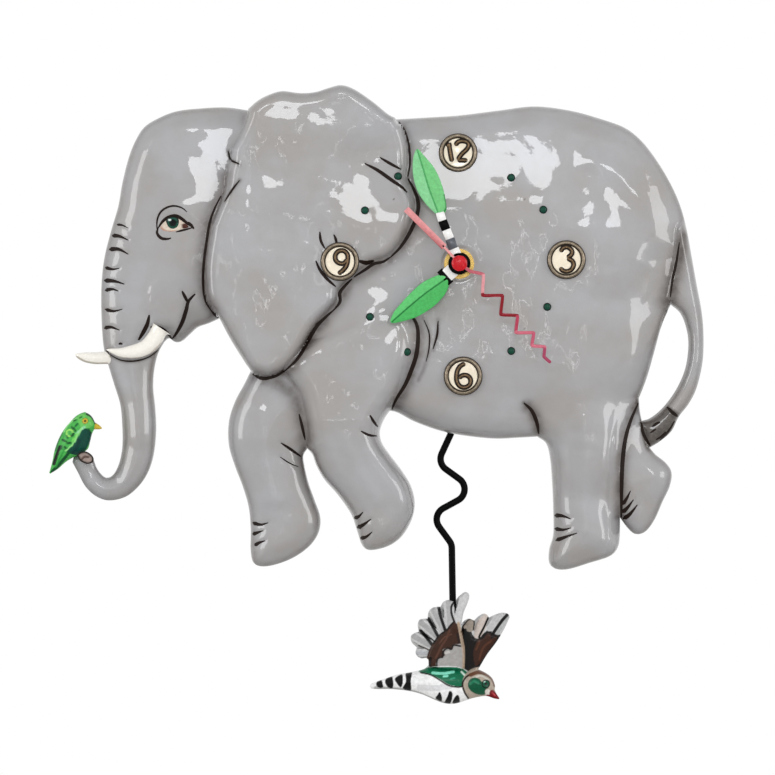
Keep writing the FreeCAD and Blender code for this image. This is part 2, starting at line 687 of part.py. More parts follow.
def second_hand_shape():
    """The second hand: a lightning-bolt arm, a bar for a tail and a small hub."""
    back = SECONDS_HUB_FRONT - HAND_THICKNESS
    bolt = [place(p) for p in ZIGZAG_PIXELS]
    tail = [place(p) for p in SECOND_TAIL_PIXELS]
    arm = plate(band(bolt, [ZIGZAG_LINE_WIDTH] * len(bolt)), back, SECONDS_HUB_FRONT)
    bar = plate(band(tail, [SECOND_TAIL_ROOT_WIDTH, SECOND_TAIL_TIP_WIDTH]), back, SECONDS_HUB_FRONT)
    whole = disc(SECONDS_HUB_RADIUS, SECONDS_HUB_BACK, SECONDS_HUB_FRONT, SHAFT).fuse([arm, bar])
    bore = disc(SECONDS_ARBOR_RADIUS, SECONDS_HUB_BACK - OVERRUN, SECONDS_HUB_FRONT + OVERRUN, SHAFT)
    return whole.cut(bore).removeSplitter()


def bent_path(corners, radii):
    """A wire through 3-D corners, each rounded by an arc."""
    edges = []
    start = corners[0]
    for i in range(1, len(corners) - 1):
        corner = corners[i]
        come = (corners[i - 1] - corner).normalize()
        leave = (corners[i + 1] - corner).normalize()
        half = come.getAngle(leave) / 2
        run = radii[i - 1] / math.tan(half)
        first = corner + come * run
        last = corner + leave * run
        toward = (come + leave).normalize()
        middle = corner + toward * (radii[i - 1] / math.sin(half) - radii[i - 1])
        edges.append(Part.makeLine(start, first))
        edges.append(Part.Arc(first, middle, last).toShape())
        start = last
    edges.append(Part.makeLine(start, corners[-1]))
    return Part.Wire(edges)


def rod_shape():
    """The bent pendulum rod: a peg through the arm's eye, then down in two bends to the bird."""
    eye = (SHAFT[0], PIVOT_HEIGHT - ARM_LENGTH - EYE_CLEARANCE)
    corners = [point(eye, ARM_BACK - ROD_HOOK_REACH), point(eye, ROD_DEPTH)]
    corners += [point(place(p), ROD_DEPTH) for p in ROD_CORNERS_PIXELS]
    radii = [ROD_HOOK_BEND] + [ROD_BEND] * (len(corners) - 3)
    path = bent_path(corners, radii)
    ring_wire = Part.Wire([Part.makeCircle(ROD_RADIUS, corners[0], V(0, -1, 0))])
    return path.makePipeShell([ring_wire], True, False)


# Gears

def module_of(distance, first, second):
    """The module of a pair of gears from their centre distance."""
    return 2 * distance / (first + second)


def gear(teeth, module, centre, phase, back, front):
    """A flat gear with straight-sided teeth. Phase is one tooth's angle from +X towards +Z."""
    root = module * (teeth / 2 - DEDENDUM_SHARE)
    tip = module * (teeth / 2 + ADDENDUM_SHARE)
    pitch = 360.0 / teeth
    corners = []
    for i in range(teeth):
        middle = phase + i * pitch
        corners.append(polar(centre, root, middle - TOOTH_ROOT_SHARE * pitch))
        corners.append(polar(centre, tip, middle - TOOTH_TIP_SHARE * pitch))
        corners.append(polar(centre, tip, middle + TOOTH_TIP_SHARE * pitch))
        corners.append(polar(centre, root, middle + TOOTH_ROOT_SHARE * pitch))
    return plate(polygon(corners), back, front)


def meshing_phase(direction, first_teeth, first_phase, second_teeth):
    """The phase at which a second gear, lying in a direction from the first, meshes with it."""
    turned = first_teeth / second_teeth * (first_phase - direction)
    return direction + 180.0 - turned + 180.0 / second_teeth


def wheel(teeth, module, centre, phase, layer):
    """A wheel centred on a layer."""
    return gear(teeth, module, centre, phase, layer - WHEEL_THICKNESS / 2, layer + WHEEL_THICKNESS / 2)


def pinion(teeth, module, centre, phase, layer):
    """A pinion, wider than the wheel that it meets in a layer."""
    half = WHEEL_THICKNESS / 2 + PINION_OVERHANG
    return gear(teeth, module, centre, phase, layer - half, layer + half)


def arbor(centre):
    """A thin shaft between the bridge and the case front."""
    return disc(ARBOR_RADIUS, ARBOR_REAR, ARBOR_FRONT, centre)


def from_shaft(spot):
    """A spot given from the centre shaft, in the row frame."""
    return (SHAFT[0] + spot[0], SHAFT[1] + spot[1])


THIRD_AXIS = polar(SHAFT, THIRD_CENTRE_DISTANCE, THIRD_DIRECTION)
INTERMEDIATE_AXIS = polar(SHAFT, INTERMEDIATE_CENTRE_DISTANCE, INTERMEDIATE_DIRECTION)
ROTOR_AXIS = polar(INTERMEDIATE_AXIS, ROTOR_CENTRE_DISTANCE, ROTOR_DIRECTION)
MINUTE_WHEEL_AXIS = polar(SHAFT, MOTION_CENTRE_DISTANCE, MINUTE_WHEEL_DIRECTION)
MOTION_MODULE = module_of(MOTION_CENTRE_DISTANCE, CANNON_TEETH, MINUTE_WHEEL_TEETH)
SETTING_DISTANCE = MOTION_MODULE * (MINUTE_WHEEL_TEETH + SETTING_TEETH) / 2
SETTING_AXIS = polar(MINUTE_WHEEL_AXIS, SETTING_DISTANCE, SETTING_DIRECTION)
HALF_WHEEL = WHEEL_THICKNESS / 2
HALF_PINION = HALF_WHEEL + PINION_OVERHANG
STATOR_BACK = MOTION_LAYER
STATOR_FRONT = STATOR_BACK + STATOR_THICKNESS
COIL_X = ROTOR_AXIS[0] + MOTOR_COIL_OFFSET
BATTERY_X = SHAFT[0] - BATTERY_OFFSET
BATTERY_DEPTH = CASE_INSIDE_FRONT - SEAT_CLEARANCE - BATTERY_RADIUS
PARTITION_LEFT = BATTERY_X + BATTERY_RADIUS + SEAT_CLEARANCE
PARTITION_RIGHT = PARTITION_LEFT + PARTITION_WALL
INSIDE = HALF_CASE - CASE_WALL


def motion_work():
    """Hour wheel, cannon pinion, minute wheel and setting gear."""
    shapes = {}
    cannon_phase = 90.0
    minute_phase = meshing_phase(MINUTE_WHEEL_DIRECTION, CANNON_TEETH, cannon_phase, MINUTE_WHEEL_TEETH)
    pinion_phase = minute_phase
    back_direction = MINUTE_WHEEL_DIRECTION + 180.0
    hour_phase = meshing_phase(back_direction, MINUTE_PINION_TEETH, pinion_phase, HOUR_WHEEL_TEETH)
    setting_phase = meshing_phase(SETTING_DIRECTION, MINUTE_WHEEL_TEETH, minute_phase, SETTING_TEETH)

    cannon = pinion(CANNON_TEETH, MOTION_MODULE, SHAFT, cannon_phase, MOTION_LAYER)
    cannon_back = CENTRE_LAYER - HALF_WHEEL - PINION_OVERHANG
    cannon = cannon.fuse(disc(MINUTE_TUBE_RADIUS, cannon_back, MINUTE_HUB_FRONT, SHAFT))
    bore = SECONDS_ARBOR_RADIUS + RUNNING_CLEARANCE
    shapes["cannon_pinion"] = cannon.cut(disc(bore, cannon_back - OVERRUN, MINUTE_HUB_FRONT + OVERRUN, SHAFT))

    hour_back = HOUR_LAYER - HALF_WHEEL
    hour = wheel(HOUR_WHEEL_TEETH, MOTION_MODULE, SHAFT, hour_phase, HOUR_LAYER)
    hour = hour.fuse(disc(HOUR_TUBE_RADIUS, hour_back, HOUR_HUB_FRONT, SHAFT))
    bore = MINUTE_TUBE_RADIUS + RUNNING_CLEARANCE
    shapes["hour_wheel"] = hour.cut(disc(bore, hour_back - OVERRUN, HOUR_HUB_FRONT + OVERRUN, SHAFT))

    minute_back = MOTION_LAYER - HALF_WHEEL
    minute_front = HOUR_LAYER + HALF_PINION
    minute = wheel(MINUTE_WHEEL_TEETH, MOTION_MODULE, MINUTE_WHEEL_AXIS, minute_phase, MOTION_LAYER)
    small = gear(MINUTE_PINION_TEETH, MOTION_MODULE, MINUTE_WHEEL_AXIS, pinion_phase, minute_back,
                 minute_front)
    bore = MINUTE_STUD_RADIUS + RUNNING_CLEARANCE
    shapes["minute_wheel"] = minute.fuse(small).cut(
        disc(bore, minute_back - OVERRUN, minute_front + OVERRUN, MINUTE_WHEEL_AXIS))

    setting = wheel(SETTING_TEETH, MOTION_MODULE, SETTING_AXIS, setting_phase, MOTION_LAYER)
    knob_back = CASE_REAR - KNOB_GAP - KNOB_THICKNESS
    stem = disc(KNOB_STEM_RADIUS, knob_back + KNOB_THICKNESS / 2, MOTION_LAYER, SETTING_AXIS)
    pivot = disc(ARBOR_RADIUS, MOTION_LAYER, ARBOR_FRONT, SETTING_AXIS)
    shapes["setting_gear"] = setting.fuse([stem, pivot])

    knob = disc(KNOB_RADIUS, knob_back, knob_back + KNOB_THICKNESS, SETTING_AXIS)
    grooves = []
    for i in range(KNOB_GRIPS):
        spot = polar(SETTING_AXIS, KNOB_RADIUS, i * 360.0 / KNOB_GRIPS)
        grooves.append(disc(KNOB_GRIP_RADIUS, knob_back - OVERRUN, knob_back + KNOB_THICKNESS + OVERRUN, spot))
    shapes["setting_knob"] = knob.cut(grooves).cut(shapes["setting_gear"])
    return shapes


def going_train():
    """The wheels from the motor's rotor to the second and minute hands."""
    shapes = {}
    centre_module = module_of(THIRD_CENTRE_DISTANCE, CENTRE_WHEEL_TEETH, THIRD_PINION_TEETH)
    third_module = module_of(THIRD_CENTRE_DISTANCE, THIRD_WHEEL_TEETH, SECONDS_PINION_TEETH)
    seconds_module = module_of(INTERMEDIATE_CENTRE_DISTANCE, SECONDS_WHEEL_TEETH, INTERMEDIATE_PINION_TEETH)
    rotor_module = module_of(ROTOR_CENTRE_DISTANCE, INTERMEDIATE_WHEEL_TEETH, ROTOR_PINION_TEETH)

    seconds_phase = 0.0
    pinion_phase = meshing_phase(THIRD_DIRECTION + 180.0, THIRD_WHEEL_TEETH, 0.0, SECONDS_PINION_TEETH)
    centre_phase = meshing_phase(THIRD_DIRECTION + 180.0, THIRD_PINION_TEETH, 0.0, CENTRE_WHEEL_TEETH)
    inter_pinion_phase = meshing_phase(INTERMEDIATE_DIRECTION, SECONDS_WHEEL_TEETH, seconds_phase,
                                       INTERMEDIATE_PINION_TEETH)
    rotor_phase = meshing_phase(ROTOR_DIRECTION, INTERMEDIATE_WHEEL_TEETH, 0.0, ROTOR_PINION_TEETH)

    arbor_shape = disc(SECONDS_ARBOR_RADIUS, ARBOR_REAR, SECONDS_HUB_FRONT, SHAFT)
    big = wheel(SECONDS_WHEEL_TEETH, seconds_module, SHAFT, seconds_phase, SECONDS_LAYER)
    small = pinion(SECONDS_PINION_TEETH, third_module, SHAFT, pinion_phase, THIRD_LAYER)
    collar = disc(SECONDS_ARBOR_RADIUS + HUB_WALL, SECONDS_LAYER - HALF_PINION, THIRD_LAYER - HALF_PINION,
                  SHAFT)
    shapes["seconds_wheel"] = big.fuse([small, collar, arbor_shape])

    big = wheel(THIRD_WHEEL_TEETH, third_module, THIRD_AXIS, 0.0, THIRD_LAYER)
    small = pinion(THIRD_PINION_TEETH, centre_module, THIRD_AXIS, 0.0, CENTRE_LAYER)
    collar = disc(ARBOR_RADIUS + HUB_WALL, THIRD_LAYER - HALF_PINION, CENTRE_LAYER - HALF_PINION, THIRD_AXIS)
    shapes["third_wheel"] = big.fuse([small, collar, arbor(THIRD_AXIS)])

    big = wheel(INTERMEDIATE_WHEEL_TEETH, rotor_module, INTERMEDIATE_AXIS, 0.0, ROTOR_LAYER)
    small = pinion(INTERMEDIATE_PINION_TEETH, seconds_module, INTERMEDIATE_AXIS, inter_pinion_phase,
                   SECONDS_LAYER)
    collar = disc(ARBOR_RADIUS + HUB_WALL, ROTOR_LAYER - HALF_PINION, SECONDS_LAYER - HALF_PINION,
                  INTERMEDIATE_AXIS)
    shapes["intermediate_wheel"] = big.fuse([small, collar, arbor(INTERMEDIATE_AXIS)])

    small = pinion(ROTOR_PINION_TEETH, rotor_module, ROTOR_AXIS, rotor_phase, ROTOR_LAYER)
    shapes["rotor_pinion"] = small.fuse(arbor(ROTOR_AXIS))
    middle = (STATOR_BACK + STATOR_FRONT) / 2
    shapes["rotor_magnet"] = ring(ROTOR_MAGNET_RADIUS, ARBOR_RADIUS, middle - ROTOR_MAGNET_THICKNESS / 2,
                                  middle + ROTOR_MAGNET_THICKNESS / 2, ROTOR_AXIS)

    centre_back = CENTRE_LAYER - HALF_WHEEL
    centre_front = MOTION_LAYER - HALF_PINION
    big = wheel(CENTRE_WHEEL_TEETH, centre_module, SHAFT, centre_phase, CENTRE_LAYER)
    clutch = disc(CLUTCH_RADIUS, centre_back, centre_front - SEAT_CLEARANCE, SHAFT)
    bore = disc(MINUTE_TUBE_RADIUS + RUNNING_CLEARANCE, centre_back - OVERRUN, centre_front, SHAFT)
    shapes["centre_wheel"] = big.fuse(clutch).cut(bore)
    return shapes


def motor_and_power():
    """Stator, coil, core, circuit board, crystal, battery and its contacts."""
    shapes = {}
    x, z = ROTOR_AXIS
    low = z - STATOR_FALL
    high = z + STATOR_RISE
    left = x - STATOR_WIDTH / 2
    right = COIL_X + CORE_WIDTH
    yoke = block(left, x + STATOR_WIDTH / 2, STATOR_BACK, STATOR_FRONT, low, high)
    top = block(left, right, STATOR_BACK, STATOR_FRONT, high - STATOR_ARM, high)
    foot = block(left, right, STATOR_BACK, STATOR_FRONT, low, low + STATOR_ARM)
    window = disc(ROTOR_MAGNET_RADIUS + STATOR_GAP, STATOR_BACK - OVERRUN, STATOR_FRONT + OVERRUN, ROTOR_AXIS)
    shapes["motor_stator"] = yoke.fuse([top, foot]).cut(window).removeSplitter()

    core_back = STATOR_BACK - STATOR_THICKNESS
    core = block(COIL_X - CORE_WIDTH / 2, COIL_X + CORE_WIDTH / 2, core_back, STATOR_BACK, low, high)
    shapes["coil_core"] = core
    coil_low = low + STATOR_ARM + SEAT_CLEARANCE
    coil_high = high - STATOR_ARM - SEAT_CLEARANCE
    coil_centre = point((COIL_X, coil_low), (core_back + STATOR_BACK) / 2)
    coil = Part.makeCylinder(MOTOR_COIL_RADIUS, coil_high - coil_low, coil_centre, V(0, 0, 1))
    shapes["motor_coil"] = coil.cut(core)

    board_right = SHAFT[0] + INSIDE - BOARD_RIGHT_GAP
    board_bottom = SHAFT[1] - INSIDE + BOARD_BOTTOM_GAP
    board = block(board_right - BOARD_WIDTH, board_right, THIRD_LAYER - BOARD_THICKNESS, THIRD_LAYER,
                  board_bottom, board_bottom + BOARD_HEIGHT)
    chip = disc(CHIP_RADIUS, THIRD_LAYER - BOARD_THICKNESS - CRYSTAL_RADIUS, THIRD_LAYER - BOARD_THICKNESS,
                (board_right - BOARD_WIDTH / 2 + CRYSTAL_RADIUS, board_bottom + BOARD_HEIGHT / 2))
    shapes["circuit_board"] = board.fuse(chip)
    crystal_spot = (board_right - BOARD_WIDTH + 2 * CRYSTAL_RADIUS - SEAT_CLEARANCE,
                    board_bottom + (BOARD_HEIGHT - CRYSTAL_LENGTH) / 2)
    crystal_depth = THIRD_LAYER - BOARD_THICKNESS - CRYSTAL_RADIUS
    shapes["quartz_crystal"] = Part.makeCylinder(CRYSTAL_RADIUS, CRYSTAL_LENGTH,
                                                 point(crystal_spot, crystal_depth), V(0, 0, 1))

    whole_length = BATTERY_LENGTH + BATTERY_NUB_LENGTH
    bottom = SHAFT[1] - whole_length / 2
    base = point((BATTERY_X, bottom), BATTERY_DEPTH)
    cell = Part.makeCylinder(BATTERY_RADIUS, BATTERY_LENGTH, base, V(0, 0, 1))
    nub_base = point((BATTERY_X, bottom + BATTERY_LENGTH), BATTERY_DEPTH)
    nub = Part.makeCylinder(BATTERY_NUB_RADIUS, BATTERY_NUB_LENGTH, nub_base, V(0, 0, 1))
    shapes["battery"] = cell.fuse(nub)

    half = CONTACT_WIDTH / 2
    wall_top = SHAFT[1] + INSIDE
    wall_bottom = SHAFT[1] - INSIDE
    near = BATTERY_DEPTH - CONTACT_DEPTH / 2
    far = BATTERY_DEPTH + CONTACT_DEPTH / 2
    blade = block(BATTERY_X - half, BATTERY_X + half, near, far, wall_top - CONTACT_THICKNESS, wall_top)
    reach = bottom + whole_length + CONTACT_GAP
    boss = Part.makeCylinder(CONTACT_BOSS_RADIUS, wall_top - reach, point((BATTERY_X, reach), BATTERY_DEPTH),
                             V(0, 0, 1))
    shapes["contact_plus"] = blade.fuse(boss)
    blade = block(BATTERY_X - half, BATTERY_X + half, near, far, wall_bottom, wall_bottom + CONTACT_THICKNESS)
    boss = Part.makeCone(half, CONTACT_BOSS_RADIUS, bottom - CONTACT_GAP - wall_bottom - CONTACT_THICKNESS,
                         point((BATTERY_X, wall_bottom + CONTACT_THICKNESS), BATTERY_DEPTH), V(0, 0, 1))
    near_boss = block(BATTERY_X - half, BATTERY_X + half, near, far, wall_bottom, bottom)
    shapes["contact_minus"] = blade.fuse(boss.common(near_boss))
    return shapes


def case_shapes(screws):
    """Front case, bushing, back cover, train bridge and their screws."""
    shapes = {}
    x0, z0 = SHAFT
    outer = block(x0 - HALF_CASE, x0 + HALF_CASE, COVER_FRONT, CASE_FRONT, z0 - HALF_CASE, z0 + HALF_CASE)
    hollow = block(x0 - INSIDE, x0 + INSIDE, COVER_FRONT - OVERRUN, CASE_INSIDE_FRONT, z0 - INSIDE, z0 + INSIDE)
    case = outer.cut(hollow)
    wall = block(PARTITION_LEFT, PARTITION_RIGHT, COVER_FRONT, CASE_INSIDE_FRONT, z0 - INSIDE, z0 + INSIDE)
    posts = [wall]
    for spot in COVER_SCREW_SPOTS:
        posts.append(disc(PILLAR_RADIUS, COVER_FRONT, CASE_INSIDE_FRONT, from_shaft(spot)))
    for spot in BRIDGE_SCREW_SPOTS:
        posts.append(disc(PILLAR_RADIUS, BRIDGE_FRONT, CASE_INSIDE_FRONT, from_shaft(spot)))
    posts.append(disc(MINUTE_STUD_RADIUS, MOTION_LAYER - HALF_WHEEL, CASE_INSIDE_FRONT, MINUTE_WHEEL_AXIS))
    low = ROTOR_AXIS[1] - STATOR_FALL + STATOR_ARM / 2
    high = ROTOR_AXIS[1] + STATOR_RISE - STATOR_ARM / 2
    for z in (low, high):
        posts.append(disc(PILLAR_RADIUS, STATOR_FRONT, CASE_INSIDE_FRONT, (ROTOR_AXIS[0], z)))
    board_post = (x0 + INSIDE - BOARD_RIGHT_GAP - BOARD_POST_RADIUS,
                  z0 - INSIDE + BOARD_BOTTOM_GAP + BOARD_POST_RADIUS)
    posts.append(disc(BOARD_POST_RADIUS, THIRD_LAYER, CASE_INSIDE_FRONT, board_post))
    case = case.fuse(posts)
    holes = [disc(BUSHING_RADIUS, CASE_INSIDE_FRONT - OVERRUN, CASE_FRONT + OVERRUN, SHAFT)]
    pivot = ARBOR_RADIUS + RUNNING_CLEARANCE
    for axis in (THIRD_AXIS, INTERMEDIATE_AXIS, ROTOR_AXIS, SETTING_AXIS):
        holes.append(disc(pivot, CASE_INSIDE_FRONT - OVERRUN, CASE_INSIDE_FRONT + PIVOT_HOLE_DEPTH, axis))
    shapes["front_case"] = case.cut(holes + [screws["bridge_screws"], screws["cover_screws"]])

    flange_back = CASE_INSIDE_FRONT - BUSHING_FLANGE
    bushing = disc(BUSHING_RADIUS, flange_back, BUSHING_END, SHAFT)
    bushing = bushing.fuse(disc(BUSHING_FLANGE_RADIUS, flange_back, CASE_INSIDE_FRONT, SHAFT))
    bore = HOUR_TUBE_RADIUS + RUNNING_CLEARANCE
    shapes["threaded_bushing"] = bushing.cut(disc(bore, flange_back - OVERRUN, BUSHING_END + OVERRUN, SHAFT))

    cover = block(x0 - HALF_CASE, x0 + HALF_CASE, CASE_REAR, COVER_FRONT, z0 - HALF_CASE, z0 + HALF_CASE)
    holes = [block(x0 - INSIDE, PARTITION_LEFT, CASE_REAR - OVERRUN, COVER_FRONT + OVERRUN,
                   z0 - INSIDE, z0 + INSIDE)]
    holes.append(disc(KNOB_STEM_RADIUS + RUNNING_CLEARANCE, CASE_REAR - OVERRUN, COVER_FRONT + OVERRUN,
                      SETTING_AXIS))
    holes.append(disc(PIVOT_RADIUS, CASE_REAR - OVERRUN, CASE_REAR + PIVOT_HOLE_DEPTH, (x0, PIVOT_HEIGHT)))
    shapes["back_cover"] = cover.cut(holes + [screws["cover_screws"], screws["housing_screws"]])

    spots = [from_shaft(spot) for spot in BRIDGE_SCREW_SPOTS] + [ROTOR_AXIS]
    middle_x = sum(spot[0] for spot in spots) / len(spots)
    middle_z = sum(spot[1] for spot in spots) / len(spots)
    corners = []
    for spot in spots:
        ux, uz = unit(middle_x, middle_z, spot)
        corners.append((spot[0] + ux * BRIDGE_MARGIN, spot[1] + uz * BRIDGE_MARGIN))
    ordered = [corners[0], corners[3], corners[2], corners[1]]
    bridge = plate(polygon(ordered), BRIDGE_BACK, BRIDGE_FRONT)
    for spot in spots:
        bridge = bridge.fuse(disc(BRIDGE_MARGIN, BRIDGE_BACK, BRIDGE_FRONT, spot))
    through = (BRIDGE_BACK - OVERRUN, BRIDGE_FRONT + OVERRUN)
    holes = [disc(SECONDS_ARBOR_RADIUS + RUNNING_CLEARANCE, through[0], through[1], SHAFT)]
    for axis in (THIRD_AXIS, INTERMEDIATE_AXIS, ROTOR_AXIS):
        holes.append(disc(pivot, through[0], through[1], axis))
    holes.append(disc(KNOB_STEM_RADIUS + RUNNING_CLEARANCE, through[0], through[1], SETTING_AXIS))
    shapes["train_bridge"] = bridge.removeSplitter().cut(holes + [screws["bridge_screws"]])
    return shapes


def screw_shapes():
    """All screws, which the pieces around them are cut with."""
    shapes = {}
    bridge = [countersunk_screw(BRIDGE_BACK, BRIDGE_BACK + SCREW_DEPTH, from_shaft(s))
              for s in BRIDGE_SCREW_SPOTS]
    shapes["bridge_screws"] = Part.Compound(bridge)
    cover = [countersunk_screw(CASE_REAR, CASE_REAR + SCREW_DEPTH, from_shaft(s)) for s in COVER_SCREW_SPOTS]
    shapes["cover_screws"] = Part.Compound(cover)
    housing = []
    for spot in housing_boss_spots():
        housing.append(countersunk_screw(HOUSING_BACK, COVER_FRONT, spot))
    shapes["housing_screws"] = Part.Compound(housing)
    hanger = []
    for side in (-1, 1):
        spot = (SHAFT[0] + side * PLATE_SCREW_SPREAD / 2, -PLATE_SCREW_DROP)
        hanger.append(countersunk_screw(0.0, PLATE_SCREW_LENGTH, spot))
    shapes["hanger_screws"] = Part.Compound(hanger)
    return shapes


def housing_boss_spots():
    """The four corner bosses of the pendulum housing."""
    spots = []
    for side in (-1, 1):
        x = SHAFT[0] + side * (HOUSING_WIDTH / 2 - HOUSING_BOSS_INSET)
        for z in (-HOUSING_TOP - HOUSING_BOSS_INSET, -HOUSING_TOP - HOUSING_HEIGHT + HOUSING_BOSS_INSET):
            spots.append((x, z))
    return spots


def pendulum_shapes(screws):
    """Hanger plate, housing, coil, pivot pin, arm, magnet and rod."""
    shapes = {}
    left = SHAFT[0] - HOUSING_WIDTH / 2
    right = SHAFT[0] + HOUSING_WIDTH / 2
    top = -HOUSING_TOP
    bottom = top - HOUSING_HEIGHT
    pivot = (SHAFT[0], PIVOT_HEIGHT)
    housing = block(left, right, HOUSING_BACK, CASE_REAR, bottom, top)
    hollow = block(left + HOUSING_WALL, right - HOUSING_WALL, HOUSING_BACK + HOUSING_WALL, CASE_REAR + OVERRUN,
                   bottom - OVERRUN, top - HOUSING_WALL)
    housing = housing.cut(hollow)
    extras = [disc(HOUSING_BOSS_RADIUS, HOUSING_BACK, CASE_REAR, spot) for spot in housing_boss_spots()]
    for side in (-1, 1):
        spot = (SHAFT[0] + side * PLATE_SCREW_SPREAD / 2, -PLATE_SCREW_DROP)
        extras.append(disc(HOUSING_BOSS_RADIUS, HOUSING_BACK, PLATE_SCREW_LENGTH, spot))
    hub_back = ARM_BACK - ARM_HUB_OVERHANG
    hub_front = ARM_BACK + ARM_THICKNESS + ARM_HUB_OVERHANG
    extras.append(disc(ARM_HUB_RADIUS, HOUSING_BACK, hub_back - END_SHAKE, pivot))
    housing = housing.fuse(extras)
    socket = disc(PIVOT_RADIUS, HOUSING_BACK + HOUSING_WALL / 2, hub_back, pivot)
    shapes["pendulum_housing"] = housing.cut([socket, screws["housing_screws"], screws["hanger_screws"]])

    shapes["pivot_pin"] = disc(PIVOT_RADIUS, HOUSING_BACK + HOUSING_WALL / 2, CASE_REAR + PIVOT_HOLE_DEPTH,
                               pivot)
    magnet_spot = (SHAFT[0], PIVOT_HEIGHT - MAGNET_DROP_SHARE * HOUSING_HEIGHT)
    arm_front = ARM_BACK + ARM_THICKNESS
    eye = (SHAFT[0], PIVOT_HEIGHT - ARM_LENGTH)
    strip = block(SHAFT[0] - ARM_WIDTH / 2, SHAFT[0] + ARM_WIDTH / 2, ARM_BACK, arm_front, eye[1], PIVOT_HEIGHT)
    arm = disc(ARM_HUB_RADIUS, hub_back, hub_front, pivot)
    arm = arm.fuse([strip, disc(MAGNET_RADIUS, ARM_BACK, arm_front, magnet_spot),
                    disc(ARM_EYE_RING, ARM_BACK, arm_front, eye)])
    arm = arm.cut([disc(PIVOT_RADIUS + RUNNING_CLEARANCE, hub_back - OVERRUN, hub_front + OVERRUN, pivot),
                   disc(ROD_RADIUS + EYE_CLEARANCE, ARM_BACK - OVERRUN, arm_front + OVERRUN, eye)])
    shapes["pendulum_arm"] = arm.removeSplitter()
    shapes["pendulum_magnet"] = disc(MAGNET_RADIUS, arm_front, arm_front + MAGNET_THICKNESS, magnet_spot)
    shapes["pendulum_coil"] = ring(DRIVE_COIL_RADIUS, DRIVE_COIL_BORE,
                                   arm_front + MAGNET_THICKNESS + DRIVE_GAP, CASE_REAR, magnet_spot)
    shapes["pendulum_rod"] = rod_shape()

    low, high = -PLATE_BOTTOM, PLATE_TOP
    half = PLATE_WIDTH / 2
    hanger = block(SHAFT[0] - half, SHAFT[0] + half, 0.0, PLATE_THICKNESS, low, high)
    corners = [edge for edge in hanger.Edges if edge.Length < PLATE_THICKNESS + SEAT_CLEARANCE]
    hanger = hanger.makeFillet(PLATE_CORNER, corners)
    slot = block(SHAFT[0] - KEYHOLE_SLOT_WIDTH / 2, SHAFT[0] + KEYHOLE_SLOT_WIDTH / 2, -OVERRUN,
                 PLATE_THICKNESS + OVERRUN, 0.0, KEYHOLE_SLOT_RISE)
    end = disc(KEYHOLE_SLOT_WIDTH / 2, -OVERRUN, PLATE_THICKNESS + OVERRUN, (SHAFT[0], KEYHOLE_SLOT_RISE))
    hole = disc(KEYHOLE_RADIUS, -OVERRUN, PLATE_THICKNESS + OVERRUN, (SHAFT[0], 0.0))
    shapes["hanger_plate"] = hanger.cut([slot, end, hole, screws["hanger_screws"]])
    return shapes


def dial_shapes(casting):
    """Numeral studs and dots, with the seats that they need in the casting."""
    shapes = {}
    bosses = []
    seats = []
    for name, pixel in NUMERAL_PIXELS.items():
        centre = place(pixel)
        seat = casting.front(centre) - STUD_SINK
        bosses.append(disc(STUD_RADIUS + STUD_BOSS_MARGIN, CAST_BACK, seat, centre))
        seats.append(disc(STUD_RADIUS, seat, seat + 2 * STUD_HEIGHT, centre))
        stud = disc(STUD_RADIUS, seat, seat + STUD_HEIGHT, centre)
        dish = disc(STUD_RADIUS - STUD_RIM_WIDTH, seat + STUD_HEIGHT - STUD_RECESS,
                    seat + STUD_HEIGHT + OVERRUN, centre)
        shapes["numeral_stud_" + name] = stud.cut(dish)
    domes = []
    for pixel in DOT_PIXELS:
        centre = place(pixel)
        seat = casting.front(centre) - DOT_SINK
        bosses.append(disc(DOT_RADIUS + DOT_BOSS_MARGIN, CAST_BACK, seat, centre))
        ball = (DOT_RADIUS ** 2 + DOT_HEIGHT ** 2) / (2 * DOT_HEIGHT)
        dome = Part.makeSphere(ball, point(centre, seat + DOT_SINK + DOT_HEIGHT - ball))
        dome = dome.common(disc(DOT_RADIUS, seat + DOT_SINK, seat + DOT_SINK + DOT_HEIGHT + OVERRUN, centre))
        base = disc(DOT_RADIUS, seat, seat + DOT_SINK, centre)
        peg = disc(DOT_PEG_RADIUS, seat - DOT_PEG_LENGTH, seat, centre)
        domes.append(dome.fuse([base, peg]).removeSplitter())
        seats.append(disc(DOT_RADIUS, seat, seat + 2 * DOT_HEIGHT, centre))
        seats.append(peg)
    shapes["hour_dots"] = Part.Compound(domes)
    return shapes, bosses, seats


